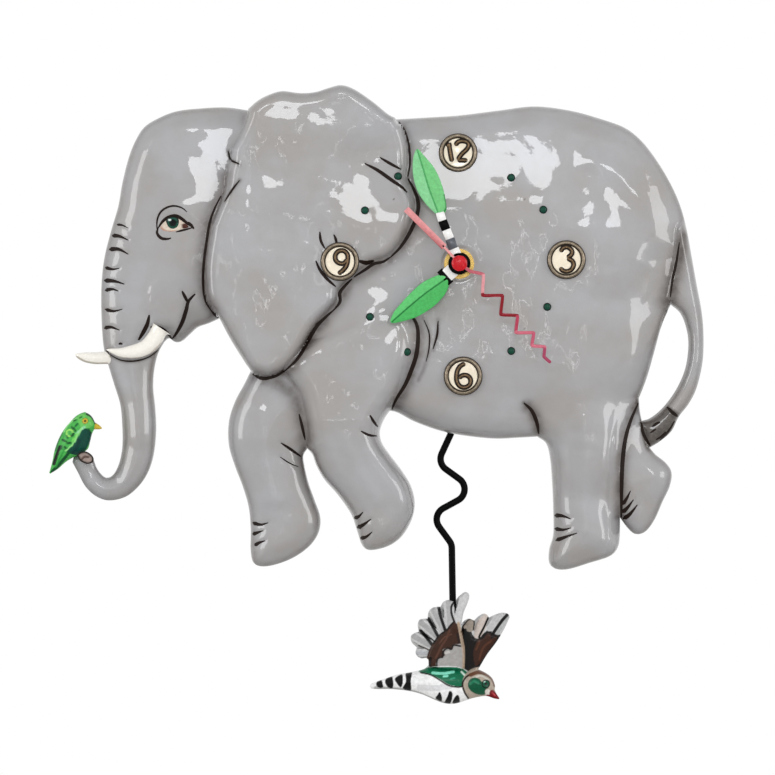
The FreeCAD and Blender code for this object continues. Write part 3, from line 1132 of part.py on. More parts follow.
def centre_post():
    """Washers, nut, hands and cap."""
    shapes = {}
    shapes["rubber_washer"] = ring(RUBBER_WASHER_RADIUS, BUSHING_RADIUS, CASE_FRONT, POCKET_FLOOR, SHAFT)
    shapes["brass_washer"] = ring(BRASS_WASHER_RADIUS, BUSHING_RADIUS, DIAL_FACE, NUT_BACK, SHAFT)
    corner = NUT_ACROSS_FLATS / math.sqrt(3)
    hexagon = polygon([polar(SHAFT, corner, 60.0 * i) for i in range(6)])
    nut = plate(hexagon, NUT_BACK, NUT_FRONT)
    shapes["mounting_nut"] = nut.cut(disc(BUSHING_RADIUS, NUT_BACK - OVERRUN, NUT_FRONT + OVERRUN, SHAFT))
    shapes["hour_hand"] = hand(HOUR_LEAF_SPANS_PIXELS, HOUR_HUB_RADIUS, HOUR_TUBE_RADIUS, HOUR_HUB_BACK,
                               HOUR_HUB_FRONT)
    shapes["minute_hand"] = hand(MINUTE_LEAF_SPANS_PIXELS, MINUTE_HUB_RADIUS, MINUTE_TUBE_RADIUS,
                                 MINUTE_HUB_BACK, MINUTE_HUB_FRONT)
    shapes["second_hand"] = second_hand_shape()
    cap = disc(CAP_RADIUS, SECONDS_HUB_FRONT, SECONDS_HUB_FRONT + CAP_THICKNESS, SHAFT)
    ball = (CAP_RADIUS ** 2 + CAP_CROWN ** 2) / (2 * CAP_CROWN)
    top = SECONDS_HUB_FRONT + CAP_THICKNESS + CAP_CROWN
    crown = Part.makeSphere(ball, point(SHAFT, top - ball))
    crown = crown.common(disc(CAP_RADIUS, SECONDS_HUB_FRONT + CAP_THICKNESS, top + OVERRUN, SHAFT))
    shapes["second_hand_cap"] = cap.fuse(crown).removeSplitter()
    return shapes


def casting_shape(casting, tusks, perched, bosses, seats):
    """The elephant with its movement pocket, its spotface and the seats of what is let into it."""
    x0, z0 = SHAFT
    whole = casting.body.solid().fuse([casting.ear.solid(), casting.foreleg.solid()])
    whole = whole.fuse(bosses)
    room = HALF_CASE + POCKET_CLEARANCE
    cuts = [block(x0 - room, x0 + room, CAST_BACK - OVERRUN, POCKET_FLOOR, z0 - room, z0 + room)]
    cuts.append(disc(BUSHING_RADIUS + SEAT_CLEARANCE, POCKET_FLOOR - OVERRUN, NUT_FRONT, SHAFT))
    cuts.append(disc(NUT_SPOTFACE_RADIUS, DIAL_FACE, NUT_FRONT, SHAFT))
    return whole.cut(cuts + seats).cut(tusks + [perched])


def main():
    os.makedirs("parts", exist_ok=True)
    casting = Casting()
    near_tusk = Relief(NEAR_TUSK_SPANS_PIXELS, NEAR_TUSK_BACK, lambda x, z: NEAR_TUSK_DEPTH, TUSK_EDGE,
                       TUSK_ROLL, TUSK_GRID, SMALL_OUTLINE_STEP).solid()
    far_tusk = Relief(FAR_TUSK_SPANS_PIXELS, FAR_TUSK_BACK, lambda x, z: FAR_TUSK_DEPTH, TUSK_EDGE,
                      TUSK_ROLL, TUSK_GRID, SMALL_OUTLINE_STEP).solid()
    perched = Relief(PERCHED_BIRD_SPANS_PIXELS, PERCHED_BIRD_BACK, lambda x, z: PERCHED_BIRD_DEPTH,
                     PERCHED_BIRD_EDGE, PERCHED_BIRD_ROLL, PERCHED_BIRD_GRID, SMALL_OUTLINE_STEP).solid()
    bob = Relief(FLYING_BIRD_SPANS_PIXELS, BOB_BACK, bob_depth, BOB_EDGE, BOB_ROLL, BOB_GRID,
                 SMALL_OUTLINE_STEP).solid()
    screws = screw_shapes()
    furniture, bosses, seats = dial_shapes(casting)
    parts = {"elephant_casting": casting_shape(casting, [near_tusk, far_tusk], perched, bosses, seats)}
    parts.update({"near_tusk": near_tusk, "far_tusk": far_tusk, "perched_bird": perched})
    parts.update(furniture)
    parts.update(centre_post())
    parts.update(case_shapes(screws))
    parts.update(motion_work())
    parts.update(going_train())
    parts.update(motor_and_power())
    parts.update(pendulum_shapes(screws))
    parts["bird_bob"] = bob.cut(parts["pendulum_rod"])
    parts.update(screws)
    for name, shape in parts.items():
        save(shape, name)


main()
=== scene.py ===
import json
import math

import bmesh
import bpy
import numpy as np
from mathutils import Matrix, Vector
from mathutils.geometry import delaunay_2d_cdt


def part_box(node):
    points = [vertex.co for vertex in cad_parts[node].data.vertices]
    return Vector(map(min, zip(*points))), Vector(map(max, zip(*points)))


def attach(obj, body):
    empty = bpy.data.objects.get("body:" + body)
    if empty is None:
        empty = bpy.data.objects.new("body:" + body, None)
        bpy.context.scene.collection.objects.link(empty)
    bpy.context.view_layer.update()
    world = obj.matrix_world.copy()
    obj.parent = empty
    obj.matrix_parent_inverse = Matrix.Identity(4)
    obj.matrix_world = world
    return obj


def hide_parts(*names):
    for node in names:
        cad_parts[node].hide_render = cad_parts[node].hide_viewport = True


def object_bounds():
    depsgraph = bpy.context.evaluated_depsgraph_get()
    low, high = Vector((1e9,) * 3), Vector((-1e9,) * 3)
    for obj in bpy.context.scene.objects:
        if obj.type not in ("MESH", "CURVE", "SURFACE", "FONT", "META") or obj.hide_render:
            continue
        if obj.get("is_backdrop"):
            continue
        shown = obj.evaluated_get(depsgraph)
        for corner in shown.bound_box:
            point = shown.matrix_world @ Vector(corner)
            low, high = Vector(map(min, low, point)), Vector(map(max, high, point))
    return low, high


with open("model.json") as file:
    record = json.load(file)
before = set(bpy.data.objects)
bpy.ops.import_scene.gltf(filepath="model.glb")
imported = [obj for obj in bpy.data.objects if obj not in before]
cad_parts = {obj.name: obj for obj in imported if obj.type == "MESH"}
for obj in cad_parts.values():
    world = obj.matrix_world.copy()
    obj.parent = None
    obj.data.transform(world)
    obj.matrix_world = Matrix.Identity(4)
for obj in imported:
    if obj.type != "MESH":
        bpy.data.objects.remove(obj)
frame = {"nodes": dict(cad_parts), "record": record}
CAD_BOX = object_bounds()
NODES = frame["nodes"]
MM = 0.001

# The elephant wall clock: a glazed resin relief with a dial on its flank and a bird on a pendulum.
# Flat shapes are given as pixels of the photograph and turned into millimetres on the plane of the wall.


def box_mm(node):
    """A node's lowest and highest corner in millimetres."""
    low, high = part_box(node)
    return np.array(low) / MM, np.array(high) / MM


def middle(node):
    """The centre of a node's box in millimetres."""
    return sum(box_mm(node)) / 2


def node_points(node):
    """The points of a node's mesh in millimetres."""
    vertices = NODES[node].data.vertices
    points = np.empty(len(vertices) * 3, np.float32)
    vertices.foreach_get("co", points)
    return points.reshape(-1, 3).astype(float) / MM


# Pixels of the shaft, the studs and the dots between them; the studs at 3 and 9 give the scale
SHAFT_PIXEL = (459.0, 264.0)
STUD_PIXELS = {"12": (458, 153), "3": (566, 260), "6": (463, 376), "9": (340, 262)}
DOT_PIXELS = [(511, 178), (543, 210), (547, 307), (511, 351), (407, 352), (370, 317), (365, 211),
              (398, 177)]
PX = (middle("numeral_stud_3")[0] - middle("numeral_stud_9")[0]) / (STUD_PIXELS["3"][0] - STUD_PIXELS["9"][0])
SHAFT = middle("mounting_nut")[[0, 2]]


def plane(pixels):
    """Pixels of the photograph as (x, z) in millimetres."""
    p = np.asarray(pixels, float)
    return np.stack([SHAFT[0] + (p[..., 0] - SHAFT_PIXEL[0]) * PX,
                     SHAFT[1] + (SHAFT_PIXEL[1] - p[..., 1]) * PX], -1)


# Curves and distances on the plane

RUN_STEPS = 12
BATCH = 4096
TINY = 1e-12
FAR = 99.0


def spline(points, step, closed=False):
    """A smooth curve through points: each run is a cubic of the four nearest ones, then spaced step apart."""
    p = np.asarray(points, float)
    if closed:
        quad = [np.roll(p, 1, 0), p, np.roll(p, -1, 0), np.roll(p, -2, 0)]
    else:
        ends = np.concatenate([2 * p[:1] - p[1:2], p, 2 * p[-1:] - p[-2:-1]])
        quad = [ends[:-3], ends[1:-2], ends[2:-1], ends[3:]]
    b, h, a, c = (q[:, None, :] for q in quad)
    t = np.linspace(0, 1, RUN_STEPS, endpoint=False)[None, :, None]
    run = 0.5 * (2 * h + (a - b) * t + (2 * b - 5 * h + 4 * a - c) * t ** 2
                 + (3 * h - b - 3 * a + c) * t ** 3)
    run = run.reshape(-1, p.shape[1])
    run = np.concatenate([run, run[:1] if closed else p[-1:]])
    length = np.concatenate([[0], np.cumsum(np.linalg.norm(np.diff(run, axis=0), axis=1))])
    along = np.linspace(0, length[-1], max(int(length[-1] / step), 4) + 1)
    even = np.stack([np.interp(along, length, run[:, i]) for i in range(p.shape[1])], -1)
    return even[:-1] if closed else even


def spans_loop(spans, step=1.0):
    """A closed loop of spans, each a smooth curve, with corners where spans meet."""
    return np.concatenate([spline(plane(s), step)[:-1] for s in spans])


def nearest_on(points, loop, closed=True):
    """Nearest place on a line of straight sides, and whether each point lies inside it. Each side gives the
    foot of the perpendicular, held to its ends; inside is an odd count of sides crossed to the right."""
    a = loop if closed else loop[:-1]
    e = (np.roll(loop, -1, 0) if closed else loop[1:]) - a
    size = np.maximum((e ** 2).sum(1), TINY)
    slope = e[:, 0] / np.where(e[:, 1] == 0, TINY, e[:, 1])
    feet = np.empty((len(points), 2))
    inside = np.zeros(len(points), bool)
    for start in range(0, len(points), BATCH):
        p = points[start:start + BATCH]
        wx = p[:, None, 0] - a[None, :, 0]
        wz = p[:, None, 1] - a[None, :, 1]
        t = np.clip((wx * e[:, 0] + wz * e[:, 1]) / size, 0, 1)
        gap = (wx - t * e[:, 0]) ** 2 + (wz - t * e[:, 1]) ** 2
        best = gap.argmin(1)
        chosen = t[np.arange(len(p)), best][:, None]
        feet[start:start + BATCH] = a[best] + chosen * e[best]
        crosses = ((wz < 0) != (wz < e[:, 1])) & (wx < wz * slope)
        inside[start:start + BATCH] = crosses.sum(1) % 2 == 1
    return feet, inside


def near_box(points, line, margin):
    """Which points lie within margin of a line's box."""
    return ((points > line.min(0) - margin) & (points < line.max(0) + margin)).all(1)


def loop_distance(points, loop, margin=4.0):
    """Distance inside a closed loop, negative outside; well outside its box it is just -FAR."""
    result = np.full(len(points), -FAR)
    near = near_box(points, loop, margin)
    feet, inside = nearest_on(points[near], loop)
    gap = np.linalg.norm(points[near] - feet, axis=1)
    result[near] = np.where(inside, gap, -gap)
    return result


def line_distance(points, line, margin=8.0):
    """Distance to an open line; well outside its box it is just FAR."""
    result = np.full(len(points), FAR)
    near = near_box(points, line, margin)
    feet, _ = nearest_on(points[near], line, closed=False)
    result[near] = np.linalg.norm(points[near] - feet, axis=1)
    return result


def smooth(t):
    """Smoothstep of a value held between 0 and 1."""
    t = np.clip(t, 0, 1)
    return t * t * (3 - 2 * t)


# Meshes

WELD_GAP = 2e-6
SHORTEST_EDGE = 1e-6


def volume(points, faces):
    """Six times the signed volume: every face's fan of triangles against the origin."""
    total = 0.0
    for f in faces:
        for k in range(1, f.shape[1] - 1):
            total += (np.cross(points[f[:, 0]], points[f[:, k]]) * points[f[:, k + 1]]).sum()
    return total


def gathered(parts):
    """Several (points, faces) joined into one, each turned to face outwards."""
    points, faces, total = [], [], 0
    for p, f in parts:
        f = [np.asarray(x) for x in f if len(x)]
        if volume(p - p.mean(0), f) < 0:
            f = [x[:, ::-1] for x in f]
        points.append(p)
        faces += [x + total for x in f]
        total += len(p)
    return np.concatenate(points), faces


def make_mesh(name, points, faces, body, material, weld=False, flat=False, attributes=None, flat_backs=0):
    """A piece from points in millimetres and lists of faces of equal corners, riding on a body. Faces are
    smooth, or all flat, or flat in the last flat_backs lists."""
    mesh = bpy.data.meshes.new(name)
    points = np.asarray(points, np.float32) * MM
    mesh.vertices.add(len(points))
    mesh.vertices.foreach_set("co", points.ravel())
    faces = [np.asarray(f, np.int32) for f in faces if len(f)]
    corners = np.concatenate([f.ravel() for f in faces])
    sizes = np.concatenate([np.full(len(f), f.shape[1], np.int32) for f in faces])
    mesh.loops.add(len(corners))
    mesh.loops.foreach_set("vertex_index", corners)
    mesh.polygons.add(len(sizes))
    mesh.polygons.foreach_set("loop_start", np.concatenate([[0], np.cumsum(sizes)[:-1]]).astype(np.int32))
    smooth_faces = np.full(len(sizes), not flat)
    if flat_backs:
        smooth_faces[-sum(len(f) for f in faces[-flat_backs:]):] = False
    mesh.polygons.foreach_set("use_smooth", smooth_faces)
    for label, values in (attributes or {}).items():
        values = np.asarray(values, np.float32)
        layer = mesh.attributes.new(label, "FLOAT" if values.ndim == 1 else "FLOAT_COLOR", "POINT")
        layer.data.foreach_set("value" if values.ndim == 1 else "color", values.ravel())
    mesh.update(calc_edges=True)
    mesh.validate()
    if weld:
        work = bmesh.new()
        work.from_mesh(mesh)
        bmesh.ops.remove_doubles(work, verts=work.verts, dist=WELD_GAP)
        bmesh.ops.dissolve_degenerate(work, edges=work.edges, dist=SHORTEST_EDGE)
        work.to_mesh(mesh)
        work.free()
    piece = bpy.data.objects.new(name, mesh)
    bpy.context.scene.collection.objects.link(piece)
    mesh.materials.append(material)
    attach(piece, body)
    return piece


def piece_of(name, parts, body, material, **settings):
    """A piece of several joined parts in one material."""
    return make_mesh(name, *gathered(parts), body, material, **settings)


def grid_faces(rows, columns, wrap=False):
    """Quads of a rows by columns sheet of points, the last column joined to the first when it wraps."""
    r = np.arange(rows - 1)[:, None]
    c = np.arange(columns if wrap else columns - 1)[None, :]
    n = (c + 1) % columns
    corners = [r * columns + c, r * columns + n, (r + 1) * columns + n, (r + 1) * columns + c]
    return np.stack(corners, -1).reshape(-1, 4)


def lofted(rings):
    """A closed skin over rings of equal size: quads between rings and a fan of triangles at each end."""
    count, size = rings.shape[:2]
    points = np.concatenate([rings.reshape(-1, 3), rings[:1].mean(1), rings[-1:].mean(1)])
    c = np.arange(size)
    n = (c + 1) % size
    first = np.stack([n, c, np.full(size, count * size)], -1)
    base = (count - 1) * size
    last = np.stack([base + c, base + n, np.full(size, count * size + 1)], -1)
    return points, [grid_faces(count, size, True), first, last]


def turned(centre, profile, steps=64):
    """A turned piece: a profile of (radius, depth) carried round an axis along Y."""
    angle = np.linspace(0, 2 * np.pi, steps, endpoint=False)
    p = np.asarray(profile, float)
    return np.stack([centre[0] + p[:, :1] * np.cos(angle), np.repeat(-p[:, 1:], steps, 1),
                     centre[1] + p[:, :1] * np.sin(angle)], -1)


def turned_ring(centre, profile, steps=64):
    """A turned ring: a closed profile of (radius, depth) carried round an axis along Y."""
    rings = turned(centre, list(profile) + [profile[0]], steps)
    return rings.reshape(-1, 3), [grid_faces(len(rings), steps, True)]


# Section of a painted line: a lens above the front, both edges sunk in it, and one point below to close it
SECTION_ACROSS_SHARES = np.array([-1.0, -0.8, -0.53, -0.27, 0.0, 0.27, 0.53, 0.8, 1.0, 0.0])
SECTION_LIFT_SHARES = np.array([0.0, 0.6, 0.85, 0.95, 1.0, 0.95, 0.85, 0.6, 0.0, 0.0])
SECTION_SUNK = np.array([0.12, 0.0, 0.0, 0.0, 0.0, 0.0, 0.0, 0.0, 0.12, 0.5])
LINE_STEP = 0.45
LEAST_ROOM = 0.25
EDGE_MARGIN = 0.1
# A wedge reaches its width soon after its blunt start and thins away; other lines swell from thin ends
WEDGE_START_SHARE = 0.12
WEDGE_BLUNT_SHARE = 0.3
WEDGE_WIDEST_SHARE = 1.25
WEDGE_THINNED_SHARE = 1.05
THIN_END_SHARE = 0.25
END_SHARE = 0.02
SWELL_POWER = 0.6


def line_width(along, wedge):
    """The share of a painted line's width at shares of its length: a wedge's ramp and taper, or a sine."""
    if wedge:
        ramp = np.clip(along / WEDGE_START_SHARE, WEDGE_BLUNT_SHARE, 1)
        return ramp * (WEDGE_WIDEST_SHARE - WEDGE_THINNED_SHARE * along)
    arch = np.sin(np.pi * np.clip(along, END_SHARE, 1 - END_SHARE)) ** SWELL_POWER
    return THIN_END_SHARE + (1 - THIN_END_SHARE) * arch


def ribbon(pixels, width, base, lift, wedge, room):
    """A painted line on a front: lens-shaped sections along a spline, lifted off the front that base(points)
    gives, and held within room(points), the distance inside the outline."""
    line = spline(plane(pixels), LINE_STEP)
    line = line[room(line) > LEAST_ROOM]
    half = width * PX / 2 * line_width(np.linspace(0, 1, len(line)), wedge)
    half = np.minimum(half, room(line) - EDGE_MARGIN)
    ahead = np.gradient(line, axis=0)
    side = np.stack([-ahead[:, 1], ahead[:, 0]], -1) / np.linalg.norm(ahead, axis=1)[:, None]
    flat = line[:, None] + side[:, None] * (half[:, None] * SECTION_ACROSS_SHARES)[..., None]
    rise = SECTION_LIFT_SHARES * lift - SECTION_SUNK
    depth = base(flat.reshape(-1, 2)).reshape(flat.shape[:2]) + rise
    return lofted(np.stack([flat[..., 0], -depth, flat[..., 1]], -1))


PATCH_STEP = 0.5
PATCH_RIM_SUNK = 0.25
PATCH_SKIRT = 0.5
MIDDLE_SHARE = 0.03


def patch(pixels, lift, base, rings=8):
    """A painted patch on a front: rings shrunk from a closed line to its middle. They dome up by lift times
    one less the fourth power of the share of the way out, with a sunk rim and a skirt below it."""
    loop = spline(plane(pixels), PATCH_STEP, True)
    share = np.linspace(MIDDLE_SHARE, 1, rings)[:, None]
    flat = loop.mean(0) + share[..., None] * (loop - loop.mean(0))
    front_there = base(flat.reshape(-1, 2)).reshape(flat.shape[:2])
    depth = front_there + lift * (1 - share ** 4) - PATCH_RIM_SUNK * (share == 1)
    top = np.stack([flat[..., 0], -depth, flat[..., 1]], -1)
    under = top[-1:] + np.array([0, PATCH_SKIRT, 0])
    return lofted(np.concatenate([top, under]))


def tube(points, radii, steps=20, depth_share=1.0):
    """A round bar along points (x, depth, z), of given radii: circles across the path, flattened in depth by
    depth_share."""
    p = np.asarray(points, float)
    p = np.stack([p[:, 0], -p[:, 1], p[:, 2]], -1)
    ahead = np.gradient(p, axis=0)
    ahead /= np.linalg.norm(ahead, axis=1)[:, None]
    across = np.cross(ahead, np.array([0.0, 1.0, 0.0]))
    across /= np.linalg.norm(across, axis=1)[:, None]
    up = np.cross(across, ahead)
    angle = np.linspace(0, 2 * np.pi, steps, endpoint=False)
    r = np.asarray(radii, float)[:, None, None]
    rings = p[:, None] + r * (np.cos(angle)[None, :, None] * across[:, None]
                              + depth_share * np.sin(angle)[None, :, None] * up[:, None])
    return lofted(rings)


# How far grid points may lie past the innermost rim line, in steps, and the height of the wall's middle ring
OVERREACH_SHARE = 0.35
WAIST_SHARE = 0.45
HOLE_MARGIN = 60.0
JOIN_GAP = 1e-5


class Relief:
    """A flat-backed relief: a grid of points inside a loop raised to a height, closed by a rim of rings."""

    def __init__(self, loops, height, back, step, rim):
        self.loops, self.height, self.back, self.step, self.rim = loops, height, back, step, rim

    def distance(self, points):
        """Distance inside the first loop and outside its holes."""
        gap = loop_distance(points, self.loops[0])
        for hole in self.loops[1:]:
            gap = np.minimum(gap, np.where(gap > 0, -loop_distance(points, hole, HOLE_MARGIN), gap))
        return gap

    def cells(self):
        """The grid's points inside the innermost rim line, and the quads and triangles between them."""
        self.low = self.loops[0].min(0) - self.step
        self.count = np.ceil((self.loops[0].max(0) - self.low) / self.step).astype(int) + 2
        axes = [self.low[i] + np.arange(self.count[i]) * self.step for i in range(2)]
        grid = np.stack(np.meshgrid(*axes, indexing="ij"), -1).reshape(-1, 2)
        kept = self.distance(grid) > self.rim[-1] - OVERREACH_SHARE * self.step
        index = np.arange(len(grid)).reshape(self.count)
        cell = np.stack([index[:-1, :-1], index[1:, :-1], index[1:, 1:], index[:-1, 1:]], -1).reshape(-1, 4)
        good = kept[cell]
        quads = cell[good.all(1)]
        three = cell[good.sum(1) == 3]
        tris = three[kept[three]].reshape(-1, 3)
        self.used = np.unique(np.concatenate([quads.ravel(), tris.ravel()]))
        remap = np.full(len(grid), -1)
        remap[self.used] = np.arange(len(self.used))
        return grid[self.used], remap[quads], remap[tris]

    def feet_of(self, points):
        """The nearest place on any loop to each point, and its distance."""
        feet = np.empty((len(points), 2))
        best = np.full(len(points), np.inf)
        for loop in self.loops:
            foot, _ = nearest_on(points, loop)
            gap = np.linalg.norm(points - foot, axis=1)
            feet[gap < best] = foot[gap < best]
            best = np.minimum(best, gap)
        return feet, best

    def build(self, cut=None):
        """Points (x, z), heights and faces. Grid points on the border move to the innermost rim line; each
        border edge then carries quads out through the rim and down to the back."""
        points, quads, tris = self.cells()
        inner = len(points)
        edges = np.concatenate([np.stack([f, np.roll(f, -1, 1)], -1).reshape(-1, 2) for f in (quads, tris)])
        key = edges[:, 0] * inner + edges[:, 1]
        border = edges[~np.isin(edges[:, 1] * inner + edges[:, 0], key)]
        rim_points = np.unique(border)
        feet, best = self.feet_of(points[rim_points])
        inward = (points[rim_points] - feet) / best[:, None]
        points[rim_points] = feet + inward * self.rim[-1]
        place = np.full(inner, -1)
        place[rim_points] = np.arange(len(rim_points))
        rings = [feet + inward * d for d in self.rim[:-1][::-1]]
        flat = np.concatenate([points] + rings)
        heights = self.height(flat)
        field = np.full(self.count.prod(), np.nan)
        field[self.used] = heights[:inner]
        self.field = self.spread_out(field.reshape(self.count))
        waist = heights[-len(feet):].min() * WAIST_SHARE
        flat = np.concatenate([flat, feet, feet])
        heights = np.concatenate([heights, np.full(len(feet), waist), np.zeros(len(feet))])
        faces = [quads, tris]
        start, total = border, inner
        for _ in range(len(rings) + 2):
            outer = total + place[border]
            faces.append(np.stack([start[:, 1], start[:, 0], outer[:, 0], outer[:, 1]], -1))
            start = outer
            total += len(rim_points)
        back, back_faces, back_heights = self.close_back(feet, place[border], cut)
        faces += [f + total for f in back_faces]
        return np.concatenate([flat, back]), np.concatenate([heights, back_heights]), faces

    def spread_out(self, field, times=4):
        """Cells without a height take the mean of their neighbours, again and again, to pass the border."""
        for _ in range(times):
            around = np.stack([np.roll(field, k, a) for k in (-1, 1) for a in (0, 1)])
            known = np.isfinite(around)
            mean = np.where(known, around, 0).sum(0) / np.maximum(known.sum(0), 1)
            field = np.where(np.isfinite(field), field, np.where(known.any(0), mean, np.nan))
        return np.nan_to_num(field)

    def front(self, points):
        """Depth of the built front at points (x, z), read between the four grid points around, and near the
        outline worked out afresh."""
        at = np.clip((points - self.low) / self.step, 0, np.array(self.field.shape) - 1.001)
        i, j = at.astype(int).T
        u, v = (at - at.astype(int)).T
        f = self.field
        height = (f[i, j] * (1 - u) * (1 - v) + f[i + 1, j] * u * (1 - v)
                  + f[i, j + 1] * (1 - u) * v + f[i + 1, j + 1] * u * v)
        near = self.distance(points) < self.rim[-1] + self.step
        if near.any():
            height[near] = self.height(points[near])
        return self.back + height

    def close_back(self, feet, border, cut):
        """The flat back's points, faces and heights: the border triangulated, without what lies outside it,
        and the walls and floor of a square pocket cut = (low, high, floor) where there is one."""
        corners = np.zeros((0, 2))
        sides = []
        if cut is not None:
            (x0, z0), (x1, z1), floor = cut
            corners = np.array([[x0, z0], [x1, z0], [x1, z1], [x0, z1]])
            n = len(feet)
            sides = [(n + k, n + (k + 1) % 4) for k in range(4)]
        flat = np.concatenate([feet, corners])
        edges = [tuple(map(int, e)) for e in border] + sides
        made = delaunay_2d_cdt([Vector(p) for p in flat], edges, [], 0, JOIN_GAP)
        points = np.array([tuple(p) for p in made[0]])
        tris = np.array([f for f in made[2] if len(f) == 3])
        centre = points[tris].mean(1)
        keep = self.distance(centre) > 0
        if cut is not None:
            keep &= ~((centre > corners[0]) & (centre < corners[2])).all(1)
        tris = tris[keep][:, ::-1]
        heights = np.zeros(len(points))
        if cut is None:
            return points, [tris], heights
        base = len(points)
        points = np.concatenate([points, corners, corners])
        heights = np.concatenate([heights, np.zeros(4), np.full(4, floor)])
        k = np.arange(4)
        n = (k + 1) % 4
        walls = np.stack([base + k, base + n, base + 4 + n, base + 4 + k], -1)
        return points, [tris, np.concatenate([walls, base + 4 + k[None, ::-1]])], heights

    def piece(self, name, body, material, cut=None, attributes=None):
        """The relief as a piece."""
        flat, heights, faces = self.build(cut)
        points = np.stack([flat[:, 0], -(self.back + heights), flat[:, 1]], -1)
        values = attributes(flat, heights) if attributes else None
        return make_mesh(name, points, faces, body, material, weld=True, attributes=values,
                         flat_backs=1 if cut is None else 2)


# Materials

def srgb(code, alpha=1.0):
    """A hex colour as linear light."""
    c = np.array([int(code[i:i + 2], 16) for i in (0, 2, 4)]) / 255
    c = np.where(c <= 0.04045, c / 12.92, ((c + 0.055) / 1.055) ** 2.4)
    return (*c, alpha)


def add(tree, kind, inputs=None, **settings):
    """Adds a node; inputs maps a socket to a value or to another node's output."""
    node = tree.nodes.new("ShaderNode" + kind)
    for key, value in settings.items():
        setattr(node, key, value)
    for key, value in (inputs or {}).items():
        if isinstance(value, bpy.types.NodeSocket):
            tree.links.new(value, node.inputs[key])
        else:
            node.inputs[key].default_value = value
    return node


def material(name):
    """An empty node material with its shader and the object's own coordinates."""
    mat = bpy.data.materials.new(name)
    mat.use_nodes = True
    tree = mat.node_tree
    shader = tree.nodes["Principled BSDF"]
    place = add(tree, "TexCoord").outputs["Object"]
    return mat, tree, shader, place


def mix(tree, factor, first, second, blend="MIX"):
    """Two colours mixed by a factor."""
    node = add(tree, "Mix", data_type="RGBA", blend_type=blend)
    for key, value in ((0, factor), (6, first), (7, second)):
        if isinstance(value, bpy.types.NodeSocket):
            tree.links.new(value, node.inputs[key])
        else:
            node.inputs[key].default_value = value
    return node.outputs[2]


def noise(tree, place, size, detail=3.0, roughness=0.5):
    """A noise whose lumps are about size millimetres across."""
    return add(tree, "TexNoise", {"Vector": place, "Scale": 1 / (size * MM), "Detail": detail,
                                  "Roughness": roughness}).outputs["Fac"]


def spread(tree, value, low, high, to_low=0.0, to_high=1.0):
    """A value's range from low to high spread over another range."""
    return add(tree, "MapRange", {"Value": value, "From Min": low, "From Max": high, "To Min": to_low,
                                  "To Max": to_high}).outputs["Result"]


def bump(tree, shader, height, strength, distance, socket="Normal"):
    """A bump of so many millimetres on the shader."""
    node = add(tree, "Bump", {"Height": height, "Strength": strength, "Distance": distance * MM})
    tree.links.new(node.outputs["Normal"], shader.inputs[socket])


# Where a noise's values lie for the most part
NOISE_LOW, NOISE_HIGH = 0.3, 0.7


def plain(name, colour, roughness, metal=0.0, specular=0.5, coat=0.0, coat_roughness=0.05, lump=6.0,
          shift=0.12, grain=0.3, grain_depth=0.02):
    """A moulded, cast or drawn finish: one colour with a faint mottle of lumps so many millimetres across,
    and a fine grain in its roughness and bump."""
    mat, tree, shader, place = material(name)
    base = srgb(colour)
    dark = tuple(c * (1 - shift) for c in base[:3]) + (1.0,)
    light = tuple(min(1.0, c * (1 + shift)) for c in base[:3]) + (1.0,)
    cloud = noise(tree, place, lump)
    mottle = mix(tree, spread(tree, cloud, NOISE_LOW, NOISE_HIGH), dark, light)
    tree.links.new(mottle, shader.inputs["Base Color"])
    fine = noise(tree, place, grain, 2.0)
    uneven = spread(tree, fine, NOISE_LOW, NOISE_HIGH, roughness * 0.85, min(1.0, roughness * 1.15))
    tree.links.new(uneven, shader.inputs["Roughness"])
    shader.inputs["Metallic"].default_value = metal
    shader.inputs["Specular IOR Level"].default_value = specular
    shader.inputs["Coat Weight"].default_value = coat
    shader.inputs["Coat Roughness"].default_value = coat_roughness
    bump(tree, shader, fine, 0.5, grain_depth)
    return mat


def grey_glaze():
    """Cast polyester resin, airbrushed grey, darkened by a brown wash and painted shade in its creases and
    hollows and by painted shade round its rim, under a thick clear gloss: soft clouds in the grey, brown in
    every fold, and sharp reflections broken by a slow wave in the coat."""
    mat, tree, shader, place = material("gloss_grey_resin")
    wash = add(tree, "Attribute", attribute_name="wash").outputs["Fac"]
    tuft = add(tree, "Attribute", attribute_name="tuft").outputs["Fac"]
    cloud = noise(tree, place, 26.0, 4.0)
    body = mix(tree, spread(tree, cloud, 0.35, 0.65), srgb("979390"), srgb("A1A1A4"))
    fleck = noise(tree, place, 3.0, 4.0, 0.6)
    body = mix(tree, spread(tree, fleck, 0.62, 0.8, 0.0, 0.25), body, srgb("8F8C89"))
    patchy = spread(tree, noise(tree, place, 4.0), NOISE_LOW, NOISE_HIGH, 0.7, 1.15)
    # The wash and painted shade, made patchy, mixed in as dark brown
    wash_and_shade_amount = add(tree, "Math", {0: wash, 1: patchy}, operation="MULTIPLY").outputs[0]
    body = mix(tree, wash_and_shade_amount, body, srgb("33241B"))
    hair = mix(tree, spread(tree, noise(tree, place, 1.4, 3.0), 0.35, 0.65), srgb("2F2822"), srgb("4C433B"))
    body = mix(tree, tuft, body, hair)
    tree.links.new(body, shader.inputs["Base Color"])
    shader.inputs["Roughness"].default_value = 0.42
    shader.inputs["IOR"].default_value = 1.5
    shader.inputs["Coat Weight"].default_value = 1.0
    shader.inputs["Coat Roughness"].default_value = 0.04
    shader.inputs["Coat IOR"].default_value = 1.55
    wave = noise(tree, place, 5.0, 2.0)
    bump(tree, shader, wave, 0.35, 0.25)
    bump(tree, shader, wave, 0.2, 0.25, "Coat Normal")
    return mat


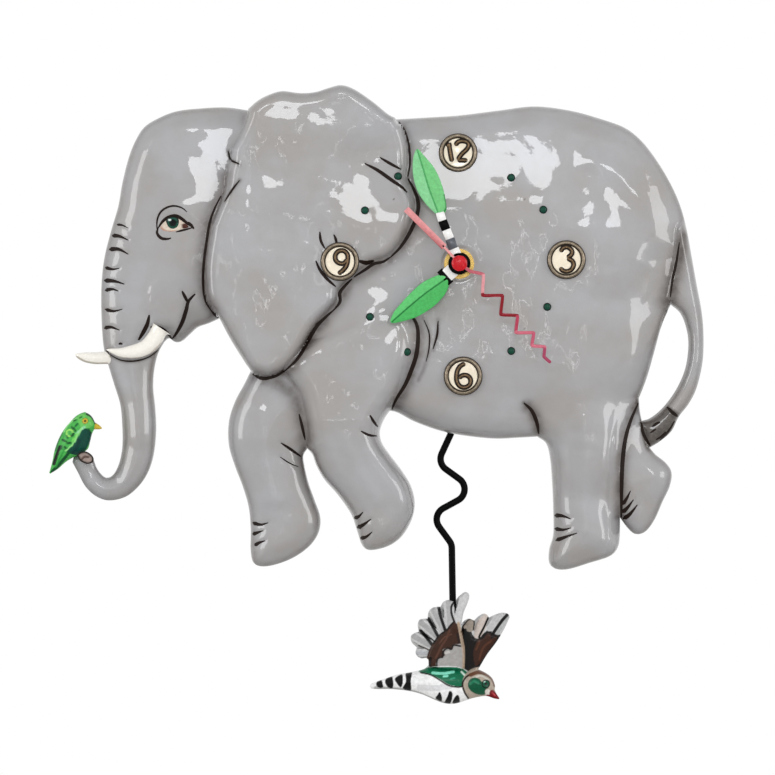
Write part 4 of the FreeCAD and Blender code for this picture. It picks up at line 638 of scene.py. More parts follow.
def painted(points, ground, layers, soft=0.3):
    """Colour at points (x, z): the ground, then each layer over it, its edge soft millimetres wide. A layer
    of width 0 fills its closed line, any other is a stroke so many pixels wide."""
    colour = np.tile(np.array(srgb(ground)), (len(points), 1))
    for pixels, width, code in layers:
        line = spline(plane(pixels), 0.4, width == 0)
        if width == 0:
            gap = loop_distance(points, line, 2.0)
        else:
            gap = width * PX / 2 - line_distance(points, line, 3.0)
        colour += smooth(gap / soft + 0.5)[:, None] * (np.array(srgb(code)) - colour)
    return colour


# Heights no greater than this belong to a relief's flat back
BACK_LEVEL = 0.01


def painted_front(flat, heights, ground, layers, soft=0.3):
    """The paint of a relief: its front and rim painted, its back left in the ground colour."""
    colour = painted(flat, ground, layers, soft)
    colour[heights <= BACK_LEVEL] = srgb(ground)
    return {"paint": colour}


def painted_resin(name, roughness=0.35, coat=0.12, specular=0.12, uneven=0.8):
    """Hand-painted resin: the colour laid at each point, streaked by the brush, under a thin gloss."""
    mat, tree, shader, place = material(name)
    laid = add(tree, "Attribute", attribute_name="paint").outputs["Color"]
    brush = spread(tree, noise(tree, place, 1.3, 4.0, 0.6), NOISE_LOW, NOISE_HIGH, uneven, 1.04)
    tree.links.new(mix(tree, 1.0, laid, brush, "MULTIPLY"), shader.inputs["Base Color"])
    shader.inputs["Roughness"].default_value = roughness
    shader.inputs["Specular IOR Level"].default_value = specular
    shader.inputs["Coat Weight"].default_value = coat
    shader.inputs["Coat Roughness"].default_value = 0.08
    bump(tree, shader, noise(tree, place, 0.9, 3.0), 0.4, 0.06)
    return mat


PAINTED = painted_resin("hand_painted_resin")
# Resin polished like ivory: nearly even in colour, with a full gloss
IVORY = painted_resin("polished_ivory_resin", 0.25, 1.0, 0.5, 0.95)
# Line paint laid by brush: matt and uneven, so that the lines stay dark beside the gloss
LINE_PAINT = plain("burnt_umber_line_paint", "1A0E08", 0.5, specular=0.15, lump=1.5, shift=0.25)
GREY = grey_glaze()
FINISH = {
    # Cast resin, brushed with colour under clear gloss: even, with sharp reflections
    "grey_resin": GREY,
    "ivory_resin": plain("gloss_ivory_resin", "F2ECDD", 0.3, coat=1.0, lump=5.0, shift=0.06),
    "green_resin": plain("gloss_green_resin", "3F9A3E", 0.35, coat=1.0, lump=2.0, shift=0.3),
    "bird_resin": plain("gloss_bird_resin", "B9B4AC", 0.35, coat=1.0, lump=2.0, shift=0.2),
    # Metals: pewter cast and tarnished, brass turned bright, steel rolled, a magnet sintered and dull
    "pewter": plain("cast_pewter", "B9AE9C", 0.32, metal=1.0, lump=1.5, shift=0.25),
    "brass": plain("turned_brass", "C4A560", 0.2, metal=1.0, lump=3.0, shift=0.05, grain_depth=0.005),
    "steel": plain("bright_steel", "B8BBBF", 0.28, metal=1.0, lump=4.0),
    "copper_winding": plain("enamelled_copper_wire", "A8522A", 0.35, metal=1.0, lump=1.0, shift=0.2),
    "magnet": plain("sintered_magnet", "4A4B4F", 0.5, metal=1.0, lump=1.0),
    # Enamel and paint: deep and glossy on the dots, thinner on the hands, a dark satin on the wire
    "dark_green_enamel": plain("dark_green_enamel", "12493A", 0.2, coat=1.0, lump=1.0),
    "green_hand_paint": plain("leaf_green_paint", "5FC96B", 0.35, coat=0.4, lump=3.0),
    "pink_hand_paint": plain("pink_hand_paint", "E38A95", 0.35, coat=0.4, lump=3.0, shift=0.2),
    "black_paint": plain("gloss_black_wire_paint", "040404", 0.35, specular=0.05, lump=3.0),
    # Moulded plastic and rubber: a fine grain that softens reflections, least on the polished red cap
    "red_cap": plain("red_cap_plastic", "C4071A", 0.25, specular=0.3, lump=2.0),
    "black_rubber": plain("black_rubber", "1B1B1C", 0.7, lump=2.0),
    "black_plastic": plain("moulded_black_abs", "17181A", 0.45, lump=8.0, grain=0.5),
    "white_gear_plastic": plain("white_acetal", "E6E4DC", 0.4, lump=3.0, shift=0.05),
    "green_board": plain("green_circuit_board", "1E5B35", 0.4, lump=3.0),
    "battery_wrap": plain("battery_shrink_wrap", "2C3A55", 0.3, coat=0.3, lump=20.0),
}

for entry in frame["record"]["subparts"]:
    data = NODES[entry["node"]].data
    data.materials.clear()
    data.materials.append(FINISH[entry["material_slot"]])


# The elephant

CASTING_SPANS = [
    [(248, 109), (257, 101), (268, 95), (282, 91), (300, 93), (315, 92), (328, 88), (341, 85), (354, 89),
     (372, 101), (388, 114), (396, 118)],
    [(396, 118), (430, 116), (460, 114), (500, 109), (535, 105), (570, 109), (600, 117), (625, 126),
     (641, 138), (655, 155), (670, 179), (681, 203), (688, 228), (693, 255), (698, 283), (703, 310),
     (705, 335), (704, 362), (698, 388), (690, 404), (680, 417), (673, 431), (662, 441), (651, 448)],
    [(651, 448), (657, 455), (667, 463), (673, 473), (671, 487), (664, 502), (656, 520), (647, 532),
     (637, 535), (629, 529), (621, 518)],
    [(621, 518), (621, 535), (619, 548), (611, 557), (590, 564), (570, 570), (557, 570), (550, 564),
     (550, 550), (554, 535), (554, 510), (553, 485), (551, 460), (547, 444), (538, 437)],
    [(538, 437), (520, 438), (495, 439), (465, 436), (440, 431), (415, 422), (398, 413), (390, 411)],
    [(390, 411), (384, 420), (380, 432), (382, 443), (390, 455), (402, 471), (411, 486), (415, 503),
     (412, 520), (402, 537), (388, 547), (370, 551), (362, 546), (357, 532), (351, 515), (338, 496),
     (324, 480), (316, 466), (312, 455), (307, 449)],
    [(307, 449), (303, 456), (304, 466), (308, 483), (314, 500), (320, 518), (318, 534), (308, 548),
     (290, 560), (268, 567), (254, 565), (250, 552), (250, 530), (248, 508), (242, 487), (234, 466),
     (228, 445), (228, 422), (234, 402), (243, 385), (250, 371)],
    [(250, 371), (240, 355), (229, 337), (219, 318)],
    [(219, 318), (208, 323), (197, 327), (189, 334), (181, 341), (174, 342), (168, 338), (163, 342)],
    [(163, 342), (157, 353), (153, 370), (152, 388), (154, 408), (155, 430), (153, 452), (148, 470),
     (139, 485), (125, 497), (108, 501), (95, 497), (84, 487), (76, 472), (69, 459)],
    [(69, 459), (76, 455), (86, 454), (92, 460)],
    [(92, 460), (96, 470), (104, 478), (112, 475), (118, 463), (121, 447), (121, 428), (119, 405),
     (113, 385), (107, 365), (102, 345), (100, 315), (100, 285), (103, 257), (110, 229), (117, 205),
     (121, 182), (127, 158), (133, 142), (142, 127), (155, 118), (175, 110), (200, 107), (225, 106),
     (248, 109)],
]
TAIL_GAP_SPANS = [
    [(672, 304), (682, 313), (688, 328), (690, 345), (687, 368), (678, 389), (665, 407), (652, 418),
     (643, 421)],
    [(643, 421), (641, 411), (640, 398)], [(640, 398), (648, 378), (656, 350), (663, 325), (672, 304)],
]
# Forms of the relief. Where a form meets the silhouette its loop runs loosely outside it.
TORSO_LOOP = [
    (395, 60), (720, 60), (720, 205), (688, 222), (686, 245), (680, 275), (672, 305), (667, 310),
    (664, 320), (660, 335), (656, 350), (652, 365), (646, 383), (640, 397), (636, 407), (630, 420),
    (626, 432), (623, 445), (621, 460), (621, 490), (621, 520), (621, 600), (530, 600), (530, 480),
    (430, 480), (418, 432), (391, 411), (368, 402), (340, 396), (318, 384), (304, 362), (288, 330),
    (266, 290), (266, 200), (285, 130), (340, 108)]
HEAD_LOOP = [
    (20, 60), (250, 60), (262, 120), (275, 200), (262, 290), (240, 322), (222, 335), (205, 420),
    (190, 520), (20, 520)]
EAR_LOOP = [
    (395, 118), (401, 125), (405, 135), (408, 150), (408, 165), (407, 178), (412, 190), (416, 200),
    (416, 210), (413, 222), (408, 233), (401, 245), (393, 254), (384, 260), (372, 263), (362, 270),
    (352, 276), (345, 283), (339, 290), (338, 300), (333, 308), (325, 315), (317, 323), (311, 331),
    (305, 343), (300, 352), (294, 360), (285, 368), (275, 374), (265, 376), (256, 374), (250, 370),
    (240, 355), (229, 337), (219, 318), (212, 308), (207, 300), (205, 285), (205, 265), (207, 245),
    (210, 228), (213, 220), (218, 208), (223, 195), (226, 180), (227, 170), (230, 160), (232, 150),
    (237, 140), (243, 128), (247, 118), (248, 109), (250, 70), (390, 70)]
FORELEG_LOOP = [
    (280, 374), (290, 385), (297, 400), (302, 420), (306, 440), (309, 455), (322, 490), (335, 530),
    (345, 600), (440, 600), (428, 490), (400, 440), (391, 411), (400, 397), (408, 380), (413, 365),
    (416, 350), (417, 335), (415, 322), (409, 311), (398, 304), (380, 302), (350, 310), (320, 326),
    (292, 345), (280, 360)]
FAR_FORELEG_LOOP = [
    (243, 362), (215, 400), (205, 480), (225, 600), (330, 600), (331, 525), (318, 480), (310, 457),
    (325, 430), (325, 390), (300, 362), (270, 352)]
FAR_HIND_LOOP = [
    (606, 405), (640, 398), (643, 412), (646, 425), (650, 440), (653, 449), (668, 452), (700, 470),
    (690, 560), (606, 560)]
TAIL_LOOP = [
    (676, 222), (670, 260), (662, 300), (668, 312), (674, 340), (664, 372), (648, 398), (638, 416),
    (643, 432), (647, 444), (652, 453), (690, 450), (730, 380), (730, 280), (705, 222)]
TUFT_LOOP = [
    (668, 407), (660, 416), (650, 421), (640, 421), (642, 432), (646, 448), (655, 452), (670, 444),
    (680, 428), (684, 417), (676, 411)]
# Depths above the flat back: the torso's full depth and the share of it at chosen places
CAST_BACK = 14.0
TORSO_DEPTH = 20.0
DEPTH_SPOTS_SHARES = [
    ((459, 264), 1.0), ((459, 330), 1.0), ((520, 200), 1.0), ((520, 330), 1.0), ((400, 200), 1.0),
    ((600, 250), 1.0), ((600, 350), 1.0), ((590, 450), 1.0), ((585, 540), 0.94), ((400, 350), 1.0),
    ((180, 150), 0.84), ((190, 230), 0.88), ((170, 300), 0.86), ((130, 300), 0.74), ((130, 360), 0.68),
    ((138, 420), 0.7), ((135, 470), 0.64), ((105, 490), 0.56), ((80, 470), 0.5), ((270, 420), 0.84),
    ((270, 480), 0.8), ((285, 530), 0.74), ((350, 420), 0.96), ((645, 470), 0.7), ((640, 515), 0.66),
    ((690, 280), 0.66), ((697, 340), 0.58), ((692, 390), 0.56), ((662, 428), 0.56), ((300, 250), 0.92),
]
DOME_RIM_SHARE = 0.75
DOME_REACH = 50.0
EAR_DEPTH = 23.5
FORELEG_DEPTH = 22.0
FORELEG_FOOT_DEPTH = 16.5
# Soft swellings and hollows: pixel, reach across and down in pixels, height in millimetres
SWELLS = [
    ((176, 208), 22, 14, 1.1), ((184, 120), 28, 24, 1.6), ((172, 222), 14, 9, -1.1),
    ((188, 275), 20, 24, 1.0), ((150, 160), 20, 18, 0.6), ((150, 255), 14, 30, -0.5),
    ((345, 330), 26, 20, 1.0), ((430, 320), 14, 40, -0.7), ((600, 250), 50, 50, 0.9),
    ((480, 410), 60, 18, 0.5), ((585, 400), 26, 40, 0.8), ((530, 415), 14, 20, -1.2),
    ((300, 225), 36, 50, -0.4), ((276, 335), 20, 24, -0.5), ((370, 158), 42, 28, -2.4),
    ((375, 232), 40, 26, 1.2), ((248, 190), 10, 30, -0.8), ((585, 545), 26, 14, 0.5),
    ((280, 545), 24, 14, 0.5), ((385, 530), 22, 14, 0.5), ((290, 450), 14, 10, -0.6),
]
# Lines cut into the front and picked out in dark paint: pixels and width in pixels
WRINKLES = [
    ([(116, 224), (122, 225), (128, 228)], 1.6), ([(111, 235), (119, 236), (128, 240)], 2.6),
    ([(108, 249), (118, 249), (128, 254)], 2.8), ([(104, 267), (112, 269), (119, 268)], 2.2),
    ([(103, 280), (114, 281), (124, 284)], 2.8), ([(104, 290), (112, 289), (118, 291)], 2.4),
    ([(104, 309), (113, 311), (122, 309)], 2.2), ([(103, 328), (110, 327), (119, 330)], 2.4),
]
FACE_LINES = [
    ([(171, 339), (176, 333), (182, 322), (186, 310), (188, 302), (191, 298), (195, 294)], 3.0),
    ([(182, 291), (185, 297), (188, 303)], 2.4), ([(149, 315), (147, 324), (143, 332), (138, 340)], 3.2),
    ([(150, 327), (158, 327), (166, 332), (171, 339)], 2.4),
    ([(118, 344), (120, 343.4), (122, 344)], 1.8),
]
EAR_LINES = [
    ([(365, 164), (378, 171), (392, 181), (402, 188), (407, 193)], 3.0),
    ([(380, 158), (390, 164), (401, 170)], 2.4), ([(320, 232), (321, 241), (325, 249)], 2.2),
    ([(334, 235), (336, 240), (337, 246)], 2.2), ([(316, 261), (320, 270), (327, 279), (336, 287)], 2.6),
    ([(358, 261), (366, 263), (374, 261)], 3.4),
]
KNEE_LINES = [
    ([(281, 443), (290, 449), (301, 457)], 2.4), ([(280, 457), (289, 463), (298, 467)], 1.2),
    ([(378, 427), (374, 422), (370, 415)], 2.4), ([(377, 436), (369, 435), (361, 431)], 2.2),
]
LEG_LINES = [
    ([(351, 519), (358, 517), (363, 512)], 2.2), ([(355, 529), (363, 525), (371, 519)], 2.4),
    ([(359, 539), (366, 537), (372, 532)], 2.2), ([(252, 523), (260, 525), (268, 523)], 2.2),
    ([(252, 535), (257, 533), (263, 531)], 2.2), ([(254, 546), (259, 543), (265, 541)], 2.2),
    ([(554, 516), (562, 516), (571, 519)], 2.4), ([(555, 529), (563, 530), (571, 528)], 2.2),
    ([(556, 541), (566, 537), (577, 533)], 2.2), ([(623, 505), (627, 499), (631, 491)], 2.2),
    ([(623, 513), (628, 508), (634, 500)], 2.4), ([(623, 520), (630, 515), (638, 505)], 2.5),
]
FLANK_LINES = [
    ([(424, 320), (429, 333), (429, 348), (426, 362)], 1.3), ([(438, 321), (437, 335), (433, 349)], 1.9),
    ([(653, 427), (657, 424), (661, 422)], 2.4), ([(651, 433), (654, 431), (657, 429)], 1.6),
    ([(657, 440), (662, 437), (667, 432)], 2.0),
]
# Grooves under them: pixels, depth and reach in millimetres
GROOVES = ([(line, 0.45, 0.9) for line, _ in WRINKLES + FACE_LINES + KNEE_LINES + LEG_LINES]
           + [(line, 0.3, 0.8) for line, _ in EAR_LINES[:4]])
# Soft ridges: pixels, height and reach in millimetres
RIDGES = [
    ([(266, 101), (254, 112), (244, 130), (236, 150)], 0.7, 2.4),
    ([(330, 92), (352, 92), (376, 108), (394, 124)], 0.5, 2.2),
    ([(240, 168), (235, 184), (226, 202), (216, 226)], 0.5, 2.2),
    ([(400, 186), (408, 205), (402, 230)], 0.5, 2.4), ([(330, 300), (318, 316), (302, 342)], 0.4, 2.4),
    ([(346, 440), (358, 470), (378, 500)], 0.5, 3.0), ([(258, 410), (262, 450), (272, 500)], 0.5, 3.0),
    ([(582, 420), (586, 470), (584, 530)], 0.5, 3.0),
    ([(592, 160), (624, 178), (648, 207), (660, 240)], 1.0, 5.0),
]
# Edges where one form stands before another, lined dark
EDGE_LINES = [
    ([(399, 121), (405, 131), (409, 146), (410, 163), (408, 177)], 1.8),
    ([(408, 179), (414, 190), (418, 201), (418, 211), (414, 224), (408, 236), (400, 248), (391, 257)],
     3.2),
    ([(391, 257), (383, 262), (374, 264), (365, 270), (354, 277)], 2.6),
    ([(352, 279), (345, 286), (340, 293), (340, 302), (334, 310)], 2.8),
    ([(334, 310), (326, 317), (318, 325), (312, 334), (306, 345), (301, 354), (295, 362), (286, 370)],
     3.2),
    ([(286, 370), (276, 376), (266, 378), (257, 376)], 2.2),
    ([(221, 196), (215, 208), (210, 222), (207, 240), (204, 262), (203, 282), (205, 300), (211, 311)],
     2.4),
    ([(211, 311), (219, 320), (227, 333)], 2.0), ([(228, 151), (231, 160), (240, 165)], 1.8),
    ([(240, 181), (233, 190), (225, 202)], 1.8),
    ([(404, 309), (411, 315), (417, 326), (418, 340), (416, 356), (411, 371), (405, 385), (397, 398),
      (391, 411)], 3.6),
    ([(524, 403), (532, 411), (537, 423), (539, 434)], 3.2),
    ([(640, 402), (632, 419), (626, 438), (623, 460), (622, 485), (622, 518)], 3.6),
    ([(680, 242), (677, 262), (673, 280), (671, 297)], 2.2),
    ([(108, 354), (120, 360), (134, 361), (148, 357), (160, 348)], 1.3),
    ([(106, 350), (106.6, 354), (107, 358)], 2.2),
    ([(655, 446), (662, 440), (670, 431), (676, 421)], 2.0), ([(668, 407), (674, 413), (681, 418)], 3.0),
    ([(642, 422), (644, 433), (649, 443), (654, 449)], 2.8), ([(252, 374), (262, 379), (272, 378)], 2.2),
    ([(299, 414), (302, 426), (305, 440)], 2.4),
]
EYE_LINES = [
    ([(157, 231), (157, 221), (160, 213), (166, 208), (174, 206), (182, 208), (187, 212)], 1.8),
    ([(158, 228), (163, 221), (169, 217), (176, 216), (182, 219), (187, 223), (194, 228)], 3.0),
    ([(158, 228), (157, 233), (161, 238), (167, 239), (171, 238)], 2.6),
    ([(188, 222), (191, 225), (194, 229)], 2.6), ([(176, 232), (184, 230), (192, 228)], 1.8),
]
# Dark wash and painted shade sprayed along creases: pixels, reach in millimetres, strength
CREASE_WASH_AND_SHADE = [
    ([(225, 176), (220, 195), (213, 210), (208, 225), (206, 245), (204, 265), (205, 285), (208, 300),
      (214, 312)], 3.2, 0.75),
    ([(418, 200), (417, 214), (408, 237), (393, 257), (372, 267), (352, 280), (342, 297), (325, 320),
      (310, 340), (300, 358), (285, 373), (262, 380)], 3.0, 0.8),
    ([(399, 120), (409, 140), (411, 165), (410, 180)], 1.6, 0.6),
    ([(409, 312), (418, 328), (418, 345), (414, 365), (405, 388), (392, 410)], 3.4, 0.8),
    ([(528, 407), (534, 415), (539, 432)], 2.8, 0.9),
    ([(391, 411), (420, 424), (460, 435), (530, 438)], 2.0, 0.4),
    ([(640, 400), (628, 425), (622, 460), (621, 515)], 3.0, 0.85),
    ([(423, 318), (429, 333), (429, 348), (425, 365), (418, 380)], 1.2, 0.6),
    ([(438, 320), (437, 335), (433, 350)], 1.0, 0.6),
    ([(685, 236), (679, 256), (674, 276), (669, 300)], 4.2, 0.95),
    ([(252, 374), (280, 384), (296, 400), (306, 440)], 3.5, 0.75),
    ([(309, 455), (325, 485), (340, 502)], 2.0, 0.45),
    ([(163, 343), (176, 338), (183, 322), (188, 303)], 2.0, 0.35),
    ([(102, 355), (106, 352), (110, 350)], 2.0, 0.6), ([(70, 457), (84, 455), (93, 459)], 2.2, 0.5),
]
# Places with little wash and painted shade: pixel, reach in pixels, share taken off
CLEAR_SPOTS_SHARES = [((238, 132), 28, 0.95), ((233, 158), 12, 0.5), ((523, 396), 12, 0.8)]


def torso_height(points, rim):
    """The full depth of body, head, legs and tail: the share blended from spots by inverse fourth power of
    distance, times a dome that reaches full height DOME_REACH inside the rim."""
    spots = plane([s[0] for s in DEPTH_SPOTS_SHARES])
    shares = np.array([s[1] for s in DEPTH_SPOTS_SHARES])
    gap = ((points[:, None] - spots) ** 2).sum(-1) + PX ** 2
    share = (shares / gap ** 2).sum(1) / (1 / gap ** 2).sum(1)
    left = 1 - np.clip(rim / DOME_REACH, 0, 1)
    return TORSO_DEPTH * share * (1 - (1 - DOME_RIM_SHARE) * left ** 2)


# A form's height where it isn't, and how far outside its outline a point still counts as on it
ABSENT = -50.0
OUTLINE_GAP = 1e-6


def rolled(depth, edge, roll, distance):
    """A quarter circle from edge at the outline up to depth, and nothing outside the outline."""
    left = 1 - np.clip(distance / roll, 0, 1)
    return np.where(distance > -OUTLINE_GAP, edge + (depth - edge) * np.sqrt(1 - left ** 2), ABSENT)


def joined(first, second, blend=1.0):
    """The higher of two heights, filleted where they are within blend of each other."""
    near = np.clip(1 - np.abs(first - second) / blend, 0, 1)
    return np.maximum(first, second) + blend * near ** 2 / 4


def ripple(points, seed, size, height, waves=9):
    """Hand-modelled unevenness: a sum of sine waves in seeded directions, their lengths between two sizes."""
    rng = np.random.default_rng(seed)
    length = rng.uniform(*size, waves)
    turn = rng.uniform(0, np.pi, waves)
    phase = rng.uniform(0, 2 * np.pi, waves)
    along = points[:, :1] * np.cos(turn) + points[:, 1:] * np.sin(turn)
    return np.sin(along * 2 * np.pi / length + phase).sum(1) / math.sqrt(waves) * height


SILHOUETTE = [spans_loop(CASTING_SPANS), spans_loop(TAIL_GAP_SPANS)]
FORM_LOOPS = {name: spline(plane(loop), 1.5, True) for name, loop in (
    ("torso", TORSO_LOOP), ("head", HEAD_LOOP), ("ear", EAR_LOOP), ("foreleg", FORELEG_LOOP),
    ("far_foreleg", FAR_FORELEG_LOOP), ("far_hind", FAR_HIND_LOOP), ("tail", TAIL_LOOP),
    ("tuft", TUFT_LOOP))}


# How far the front rises past a stud's back and stands below a dot's top, how far round each it is lifted to
# that level, and how near a dot's own points lie
STUD_SEAT, STUD_REACH = 0.8, 16.0
DOT_SEAT, DOT_REACH = 1.2, 9.0
DOT_SEARCH = 3.0


def dot_tops():
    """Each small dot's centre and the depth of its top."""
    points = node_points("hour_dots")
    for pixel in DOT_PIXELS:
        centre = plane(pixel)
        near = np.linalg.norm(points[:, [0, 2]] - centre, axis=1) < DOT_SEARCH
        yield centre, -points[near][:, 1].min()


def seats():
    """Where studs and dots sit: centre, height of the front there and how far a correction to it reaches."""
    studs = [(plane(pixel), -box_mm("numeral_stud_" + hour)[1][1] + STUD_SEAT - CAST_BACK, STUD_REACH)
             for hour, pixel in STUD_PIXELS.items()]
    return studs + [(centre, top - DOT_SEAT - CAST_BACK, DOT_REACH) for centre, top in dot_tops()]


# How each form rolls over at its outline: height at its edge, reach of the roll, fillet into what lies below.
# The skirt is the low ground between forms.
CASTING_EDGE = 4.5
SKIRT_SHARE = 0.5
SKIRT_ROLL = 6.0
FORM_ROLLS = (
    ("torso", CASTING_EDGE, 10.0, 1.0), ("head", CASTING_EDGE, 10.0, 1.0),
    ("far_foreleg", CASTING_EDGE, 9.0, 1.0),
    ("far_hind", CASTING_EDGE, 8.0, 1.0), ("tail", 3.5, 4.0, 0.6))
FORELEG_EDGE, FORELEG_ROLL = 6.0, 9.0
FORELEG_SUNK = 1.5
EAR_EDGE, EAR_ROLL, EAR_FILLET = 16.0, 5.0, 0.8
# Unevenness: seed, shortest and longest wave, height
EAR_RIPPLE = (9, (26.0, 40.0), 0.3)
BODY_RIPPLE = (4, (17.0, 34.0), 0.1)
FINE_RIPPLE = (12, (6.0, 12.0), 0.032)
# How far in from the rim a swelling reaches full height; the length of a line's fade there, and how far
# outside the rim it starts; how far from a line its distance is still measured
SWELL_FADE = 8.0
LINE_FADE, LINE_FADE_OUT = 1.5, 0.5
LINE_MARGIN = 8.0
NUT_SEAT_RADIUS = 7.3
NUT_SEAT_BLEND = 0.8
LEAST_HEIGHT = 1.0


def foreleg_depth(points, depth):
    """The near foreleg's height: a little below the torso at the shoulder, fading into a straight slope from
    knee to foot."""
    shoulder, elbow, knee, foot = plane([(0, 275), (0, 372), (0, 420), (0, 545)])[:, 1]
    fade = smooth((shoulder - points[:, 1]) / (shoulder - elbow))
    share = np.clip((points[:, 1] - foot) / (knee - foot), 0, 1)
    slope = FORELEG_FOOT_DEPTH + share * (FORELEG_DEPTH - FORELEG_FOOT_DEPTH)
    return (depth - FORELEG_SUNK) * (1 - fade) + slope * fade


def form_height(points):
    """The highest of the elephant's forms at each point: each form rolls over at its own outline and at the
    silhouette, is filleted into its neighbours, and carries soft swellings and cut lines."""
    rim = RELIEF.distance(points)
    depth = torso_height(points, rim)
    gap = {name: np.minimum(loop_distance(points, loop), rim) for name, loop in FORM_LOOPS.items()}
    height = rolled(depth * SKIRT_SHARE, CASTING_EDGE, SKIRT_ROLL, rim)
    for name, edge, roll, fillet in FORM_ROLLS:
        height = joined(height, rolled(depth, edge, roll, gap[name]), fillet)
    leg = foreleg_depth(points, depth)
    height = joined(height, rolled(leg, FORELEG_EDGE, FORELEG_ROLL, gap["foreleg"]), 1.0)
    ear = EAR_DEPTH + ripple(points, *EAR_RIPPLE)
    height = joined(height, rolled(ear, EAR_EDGE, EAR_ROLL, gap["ear"]), EAR_FILLET)
    swell = ripple(points, *BODY_RIPPLE) + ripple(points, *FINE_RIPPLE)
    for spot, across, down, rise in SWELLS:
        x, z = (points - plane(spot)).T
        swell = swell + rise * np.exp(-(x / (across * PX)) ** 2 - (z / (down * PX)) ** 2)
    height = height + swell * smooth(rim / SWELL_FADE)
    for pixels, deep, wide in GROOVES + [(line, -rise, reach) for line, rise, reach in RIDGES]:
        away = line_distance(points, spline(plane(pixels), 0.8), LINE_MARGIN)
        height = height - deep * np.exp(-(away / wide) ** 2) * smooth((rim + LINE_FADE_OUT) / LINE_FADE)
    return height


def elephant_height(points):
    """The forms, lifted softly to the level of every stud and dot, and flat under the nut."""
    height = form_height(points)
    for centre, lift, reach in LIFTS:
        height = height + lift * np.exp(-((points - centre) ** 2).sum(1) / reach ** 2)
    r = np.linalg.norm(points - SHAFT, axis=1)
    height = height + (NUT_LEVEL - height) * (1 - smooth((r - NUT_SEAT_RADIUS) / NUT_SEAT_BLEND))
    return np.maximum(height, LEAST_HEIGHT)


# The wash and painted shade: how wide an average it is measured against, the hollow where it starts
# and the further depth where it is full, the share and reach of its band of painted shade along the rim,
# and its shares on the wall and at most
WASH_AND_SHADE_WIDTH = 2.6
WASH_AND_SHADE_START, WASH_AND_SHADE_DEPTH = 0.25, 1.8
RIM_SHADE_SHARE, RIM_SHADE_REACH = 0.42, 3.6
WALL_SHADE_SHARE = 0.35
FULL_WASH_AND_SHADE_SHARE = 0.92
# How far in from the rim the wash and painted shade in a hollow reach full strength
HOLLOW_FADE = 5.0
# Painted shade beside an edge line: strength, and reach in millimetres for a line of no width and for
# each pixel of width
EDGE_SHADE_SHARE = 0.8
EDGE_REACH, EDGE_REACH_PER_PIXEL = 0.5, 0.22
# How far from a crease its distance is still measured, and how wide the tuft's colour blends in
CREASE_MARGIN = 12.0
TUFT_BLEND = 1.5
# Heights above this are the front; cells of margin round the grid, and the least cover that counts there
FRONT_LEVEL = 2.0
MARGIN_CELLS = 6
LEAST_COVER = 0.02


def blurred(field, width, step):
    """A field smoothed by a bell curve so many millimetres wide, worked out on its waves."""
    wave = [np.fft.fftfreq(n, step) for n in field.shape]
    soft = np.exp(-2 * (np.pi * width) ** 2 * (wave[0][:, None] ** 2 + wave[1][None] ** 2))
    return np.fft.ifft2(np.fft.fft2(field) * soft).real


def hollows(points, heights, front):
    """How far each place lies below the average front around it."""
    step = RELIEF.step
    low = points.min(0) - MARGIN_CELLS * step
    size = np.ceil((points.max(0) - low) / step).astype(int) + 2 * MARGIN_CELLS
    cell = np.round((points - low) / step).astype(int)
    total, count = np.zeros(size), np.zeros(size)
    np.add.at(total, tuple(cell[front].T), heights[front])
    np.add.at(count, tuple(cell[front].T), 1.0)
    filled = np.where(count > 0, total / np.maximum(count, 1), 0.0)
    mask = (count > 0).astype(float)
    cover = np.maximum(blurred(mask, WASH_AND_SHADE_WIDTH, step), LEAST_COVER)
    average = blurred(filled, WASH_AND_SHADE_WIDTH, step) / cover
    return (average - filled)[tuple(cell.T)]


def elephant_paint(points, heights):
    """The dark wash and painted shade, strong in hollows and along creases, with painted shade round the rim,
    on the walls and beside edge lines; and the tuft.
    """
    front = heights > FRONT_LEVEL
    rim = RELIEF.distance(points)
    deep = np.clip((hollows(points, heights, front) - WASH_AND_SHADE_START) / WASH_AND_SHADE_DEPTH, 0, 1)
    # Hollows take wash and painted shade, and a band of painted shade runs round the rim
    wash = deep * smooth(rim / HOLLOW_FADE) + RIM_SHADE_SHARE * (1 - smooth(rim / RIM_SHADE_REACH))
    for spot, reach, share in CLEAR_SPOTS_SHARES:
        away = np.linalg.norm(points - plane(spot), axis=1)
        wash = wash * (1 - share * np.exp(-(away / (reach * PX)) ** 2))
    shade_beside_edges = [(line, EDGE_REACH + EDGE_REACH_PER_PIXEL * width, EDGE_SHADE_SHARE)
                    for line, width in EDGE_LINES]
    for pixels, reach, strength in CREASE_WASH_AND_SHADE + shade_beside_edges:
        away = line_distance(points, spline(plane(pixels), 1.0), CREASE_MARGIN)
        wash = np.maximum(wash, strength * np.exp(-(away / reach) ** 2))
    # The walls take an even painted shade
    wash[~front] = WALL_SHADE_SHARE
    tuft = smooth(loop_distance(points, FORM_LOOPS["tuft"]) / TUFT_BLEND + 0.5)
    tuft[heights <= BACK_LEVEL] = 0.0
    return {"wash": np.clip(wash, 0, FULL_WASH_AND_SHADE_SHARE), "tuft": tuft}


RELIEF = Relief(SILHOUETTE, elephant_height, CAST_BACK, 0.7, [0.0, 0.1, 0.35, 0.8, 1.4])
NUT_LEVEL = -box_mm("brass_washer")[1][1] - CAST_BACK
LIFTS = [(centre, level - form_height(centre[None])[0], reach) for centre, level, reach in seats()]
# The square pocket for the movement: half its width and the depth of its floor from the wall
POCKET_HALF = 28.5
POCKET_FLOOR = 29.8
elephant = RELIEF.piece(
    "elephant_body", "clock", GREY, attributes=elephant_paint,
    cut=(SHAFT - POCKET_HALF, SHAFT + POCKET_HALF, POCKET_FLOOR - CAST_BACK))
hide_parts("elephant_casting")

